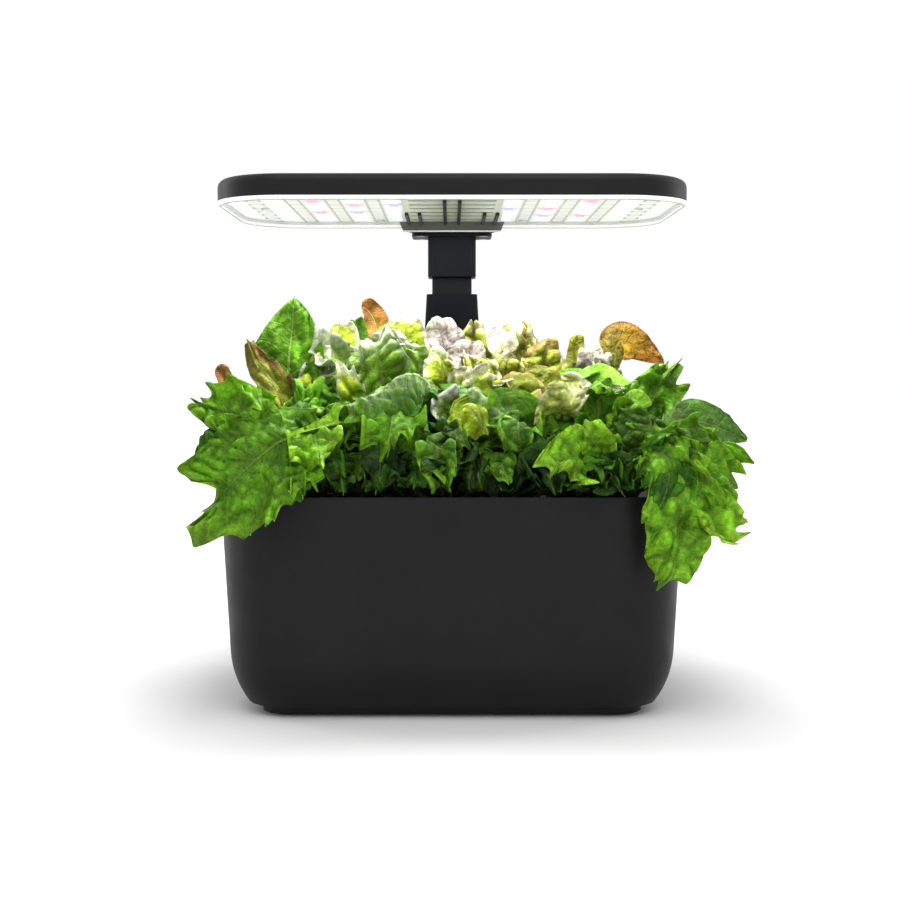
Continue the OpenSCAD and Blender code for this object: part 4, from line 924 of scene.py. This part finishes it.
# Head 1, front left: frilly leaves, the largest hanging over the corner of the tub
plant(1, [
    ((-2, -4), (-3, -33, 38), (-29, -50, 23), (-55, -52, 4), 28, frilly,
     dict(curly, arms=((19, 9, 6), (6, -7, 5), (-16, 16, 7), (-35, 12, 8), (-75, 5, 9)), waves=13), (-0.15, -1, 0.25)),
    ((-6, 2), (-15, -3, 35), (-38, -15, 48), (-64, -19, 57), 19, fresh,
     dict(curly, lobes=8, frill=4), (-0.1, -1, 0.45)),
    ((4, -4), (2, -23, 31), (5, -41, 39), (8, -51, 20), 15, bright, curly, (0.2, -1, 0.2)),
    ((0, -6), (-9, -33, 20), (-18, -43, 16), (-24, -45, -8), 15, bright, curly, (0, -1, 0.2)),
    ((-10, 8), (-30, 17, 43), (-43, 13, 57), (-53, 11, 77), 7, rust, curly, (0.3, -0.9, 0.4)),
    ((-8, 4), (-27, -13, 19), (-44, -23, 31), (-58, -29, 22), 14, deep, curly, (-0.3, -1, 0.3)),
    ((8, 2), (8, -3, 27), (13, -13, 47), (12, -17, 55), 13, frilly),
    ((8, -6), (8, -23, 13), (13, -33, 25), (16, -38, 12), 12, deep, curly, (0.1, -1, 0.3)),
    ((0, 6), (-6, 13, 26), (-6, 9, 46), (-1, 11, 55), 13, moss, curly, (0, -1, 0.4)),
    ((-2, -8), (-4, -29, 11), (-5, -43, 19), (-6, -47, 5), 11, deep),
    ((4, -8), (19, -13, 9), (20, -27, 18), (21, -37, 9), 11, deep),
], (16, 42, 62, 15, [frilly, deep, frilly, bright], 3),
   leaf_skin("frilly_leaf_left"))

# Head 2, front middle: broad glossy leaves folded over each other
plant(2, [
    ((-8, 0), (-8, -9, 62), (-29, -19, 68), (-62, -27, 53), 24, glossy, dict(folded, crest=0.55), (0.1, -0.5, 0.9)),
    ((-8, -2), (-29, -5, 35), (-33, -25, 48), (-37, -37, 32), 19, frilly),
    ((-8, 8), (-31, 17, 40), (-39, 11, 68), (-46, 15, 93), 19, silver),
    ((-12, 6), (-46, 13, 46), (-58, 9, 62), (-62, 9, 76), 8, lime, curly, (0, -1, 0.4)),
    ((-2, 6), (0, 27, 39), (-4, 21, 65), (-8, 23, 85), 14, lime, broad, (0.2, -1, 0.3)),
    ((2, 6), (12, 25, 39), (8, 19, 62), (14, 11, 69), 11, butter, broad),
    ((0, 2), (1, -3, 35), (-2, -11, 53), (0, -9, 64), 9, frost, ruffled, (0.2, -1, 0.4)),
    ((4, 0), (10, -7, 27), (9, -17, 49), (18, -27, 37), 13, limey, broad, (0.1, -1, 0.4)),
    ((6, 2), (27, 3, 35), (12, -7, 61), (35, -23, 46), 16, glossy, dict(folded, crest=0.6), (0, -0.7, 0.7)),
    ((8, 6), (32, 17, 40), (24, 7, 62), (23, 5, 71), 12, lime, broad),
    ((10, 6), (39, 17, 40), (41, 7, 62), (46, -5, 51), 13, tinged, broad, (0.1, -0.9, 0.4)),
    ((6, -2), (34, -3, 29), (36, -21, 44), (39, -34, 28), 19, moss, curly, (0.1, -1, 0.3)),
    ((2, -6), (23, -15, 13), (26, -31, 25), (30, -39, 13), 9, frilly, broad),
    ((6, -10), (25, -17, 9), (26, -27, 14), (26, -37, 7), 12, shade),
    ((-4, -4), (-7, -19, 19), (-8, -33, 33), (-7, -38, 11), 14, moss, broad),
    ((0, 0), (0, -3, 24), (-1, -21, 41), (5, -31, 31), 13, glossy, dict(folded, crest=0.5), (0, -0.7, 0.7)),
    ((-8, -6), (-32, -19, 11), (-38, -33, 24), (-42, -39, 11), 12, shade),
    ((10, -4), (45, -19, 10), (51, -33, 22), (55, -39, 10), 12, shade),
    ((-14, -4), (-45, -3, 11), (-51, -17, 29), (-52, -33, 15), 14, moss),
    ((-8, -8), (-48, -13, 9), (-47, -27, 17), (-47, -37, 8), 10, shade),
    ((-4, -8), (-21, -13, 9), (-21, -27, 19), (-20, -37, 9), 11, deep),
    ((2, -8), (10, -13, 9), (10, -27, 18), (10, -37, 9), 11, shade),
], (14, 38, 60, 15, [deep, glossy, moss, shade], 5), leaf_skin("glossy_leaf", 0.35, 0.14, 8))

# Head 3, front right: the longest frilly leaf hangs far down over the right corner
plant(3, [
    ((-2, -2), (25, -33, 37), (41, -50, 6), (34, -52, -36), 17, fresh,
     dict(curly, arms=((22, 5, 6), (12, 6, 5), (0, 7, 8), (-24, 7, 8)), teeth=4, waves=14), (0.1, -1, 0.2)),
    ((4, 0), (37, -27, 31), (56, -46, 5), (75, -49, -14), 13, bright, dict(curly, lobes=9, teeth=4), (0.2, -1, 0.3)),
    ((6, 2), (34, -13, 30), (56, -23, 32), (74, -30, 18), 17, frilly, curly, (0.3, -1, 0.4)),
    ((6, 0), (37, -19, 28), (57, -37, 20), (66, -44, 1), 15, frilly, curly, (0.2, -1, 0.3)),
    ((-4, -2), (6, -17, 19), (25, -31, 32), (49, -43, 23), 22, dull, broad, (0.1, -1, 0.3)),
    ((-8, -4), (0, -21, 11), (-10, -37, 26), (-28, -46, 20), 14, bright, curly, (-0.1, -1, 0.5)),
    ((-6, 0), (2, -19, 22), (-1, -33, 34), (-6, -41, 45), 9, bright, curly, (-0.3, -0.9, 0.6)),
    ((4, 0), (36, 1, 37), (57, -3, 46), (87, -5, 35), 13, ovate,
     dict(smooth, shape="round", stalk=0.34), (0.05, -0.9, 0.5)),
    ((4, 8), (25, 19, 34), (36, 13, 57), (48, 17, 75), 18, frilly, curly, (0.1, -1, 0.3)),
    ((6, 6), (43, 13, 27), (57, 11, 43), (70, 9, 34), 15, deep, curly, (0.1, -1, 0.4)),
    ((-4, -6), (2, -27, 9), (4, -37, 18), (12, -41, 10), 13, shade),
    ((-2, 4), (4, 3, 29), (9, -3, 51), (20, -3, 59), 15, moss),
    ((4, -4), (27, -35, 22), (36, -47, 18), (28, -51, -9), 15, deep, curly, (0, -1, 0.2)),
    ((-10, -2), (-18, 3, 30), (-21, -11, 47), (-10, -15, 66), 15, straw, broad, (0.1, -1, 0.2)),
    ((-10, -8), (-19, -13, 9), (-20, -27, 17), (-21, -37, 9), 10, deep),
    ((-2, -8), (17, -13, 9), (15, -27, 17), (15, -37, 9), 11, deep),
    ((-12, -2), (-15, -7, 13), (-19, -19, 29), (-19, -33, 15), 13, moss),
    ((-10, 4), (-5, 17, 17), (-1, 3, 39), (0, -3, 58), 13, moss),
], (16, 42, 62, 15, [frilly, deep, moss, bright], 7), leaf_skin("frilly_leaf_right"))

# Head 4, back left: one tall smooth leaf stands up, with olive leaves beside it
plant(4, [
    ((-6, -2), (-18, -10, 50), (-18, -12, 85), (-15, -9, 117), 22, romaine, tall, (0.05, -1, 0.1)),
    ((-6, -8), (-18, -20, 49), (-28, -24, 68), (-41, -22, 90), 9.5, olive, broad, (0.2, -0.9, 0.4)),
    ((2, -2), (-7, -10, 38), (-5, -12, 65), (3, -10, 91), 8, lime, broad, (0, -1, 0.2)),
    ((6, 0), (8, -6, 44), (13, -10, 75), (-4, -20, 83), 15, frost, ruffled, (0, -0.75, 0.65)),
    ((8, 2), (12, 0, 50), (12, 0, 85), (11, 0, 104), 11, lime, cupped, (0, -1, 0.35)),
    ((9, 0), (21, 0, 50), (23, 2, 85), (20, 4, 105), 6, moss, broad),
    ((10, 4), (31, 10, 50), (34, 12, 93), (24, 8, 112), 8, rust, cupped, (0, -1, 0.4)),
    ((10, -2), (31, -6, 44), (38, -8, 79), (48, -12, 90), 15, frost, ruffled, (0, -0.85, 0.5)),
    ((6, -6), (7, -20, 33), (11, -24, 54), (15, -24, 67), 14, moss),
    ((-4, -4), (-14, -18, 33), (-17, -18, 46), (-26, -18, 52), 9, shade, curly, (0, -1, 0.4)),
    ((10, -4), (22, -16, 39), (25, -20, 68), (28, -20, 85), 13, pale, ruffled),
], (16, 40, 76, 14, [frilly, moss, deep, lime], 9),
   leaf_skin("upright_leaf", 0.4, 0.16, 7.5, 2.3, 0.85))

# Head 5, back middle, right under the lamp: cream, bronze and lilac curls
plant(5, [
    ((-8, -2), (-21, 0, 56), (-27, 0, 89), (-28, 1, 106), 13, lime, cupped, (0, -1, 0.45)),
    ((-4, -4), (-5, -6, 56), (-4, -10, 85), (-10, -6, 105), 14, lilac, dict(ruffled, frill=2), (0.1, -1, 0.3)),
    ((0, -6), (5, -12, 56), (7, -16, 78), (12, -26, 73), 13, lilac, ruffled, (0.1, -0.9, 0.4)),
    ((2, -2), (11, -4, 56), (13, -6, 85), (13, -2, 103), 13, cream, ruffled),
    ((4, -4), (29, -10, 56), (30, -12, 85), (30, -8, 98), 9, lilac, cupped),
    ((8, -2), (36, -4, 56), (40, -4, 85), (41, 0, 100), 10, cream, ruffled),
    ((10, 0), (44, -2, 56), (48, -2, 83), (46, 2, 103), 6, tinged, ruffled, (0.3, -1, 0.3)),
    ((2, -8), (15, -20, 49), (15, -24, 72), (11, -22, 84), 12, cream, ruffled, (0, -1, 0.4)),
    ((6, -8), (31, -20, 49), (32, -24, 71), (35, -22, 84), 12, cream, ruffled, (0, -1, 0.4)),
    ((4, -10), (24, -26, 48), (22, -30, 65), (25, -28, 75), 11, cream, ruffled, (0, -0.9, 0.5)),
    ((8, -4), (42, -12, 44), (52, -18, 71), (55, -14, 90), 11, tinged, ruffled, (0.1, -1, 0.3)),
    ((8, -8), (41, -24, 42), (50, -32, 66), (60, -42, 55), 12, tinged, broad, (0.1, -0.9, 0.5)),
    ((-8, -4), (-23, -8, 56), (-29, -10, 81), (-37, -10, 91), 13, frost, ruffled, (0, -0.9, 0.5)),
    ((-4, -10), (-7, -28, 45), (-4, -32, 68), (-2, -30, 81), 12, lime, broad, (0, -1, 0.4)),
    ((-8, -10), (-16, -26, 45), (-19, -30, 71), (-25, -28, 85), 14, pale, ruffled, (0, -1, 0.4)),
], (17, 38, 82, 14, [moss, tinged, deep, cream], 13, [(60, 120)]),
   leaf_skin("red_edged_leaf", 0.3, 0.16, 7))

# Head 6, back right: bright young leaves, an oval bronze one and lilac tips
plant(6, [
    ((14, 0), (20, -4, 59), (21, -4, 90), (48, -6, 78), 13, bronze,
     dict(smooth, shape="round", stalk=0.46), (-0.05, -1, 0.3)),
    ((6, 0), (3, -2, 49), (5, -4, 73), (3, 0, 89), 10, lilac, ruffled),
    ((9, 0), (12, -2, 49), (13, -4, 69), (13, -2, 86), 9, lilac, ruffled),
    ((-2, 2), (-6, 2, 49), (-5, 2, 75), (-4, 4, 96), 6, olive, broad),
    ((-6, 0), (-13, -4, 49), (-17, -8, 69), (-18, -6, 86), 11, lime, ruffled, (0, -1, 0.4)),
    ((-2, -6), (-4, -20, 45), (-11, -26, 66), (7, -32, 74), 10, vivid, dict(smooth, stalk=0.4), (-0.1, -0.7, 0.7)),
    ((4, -8), (3, -26, 39), (5, -32, 67), (26, -42, 62), 13, vivid, dict(smooth, stalk=0.35), (0, -0.8, 0.6)),
    ((4, -10), (6, -38, 31), (5, -44, 50), (11, -46, 63), 9, frost, ruffled, (0, -0.9, 0.5)),
    ((-8, -6), (-15, -26, 33), (-15, -34, 58), (-3, -42, 66), 12, straw, broad, (0, -0.9, 0.4)),
    ((12, 0), (30, -8, 38), (40, -12, 59), (50, -10, 78), 14, frilly, curly, (0, -1, 0.4)),
    ((8, -4), (22, -20, 33), (32, -22, 52), (39, -20, 64), 15, frilly, curly, (0, -1, 0.4)),
    ((2, 2), (5, 0, 49), (-2, 0, 68), (-8, 0, 79), 9, cream, ruffled, (0, -1, 0.4)),
], (16, 40, 72, 14, [frilly, deep, bright, moss], 17), leaf_skin("young_leaf", 0.35))

for blank in blanks:
    bpy.data.objects.remove(blank)
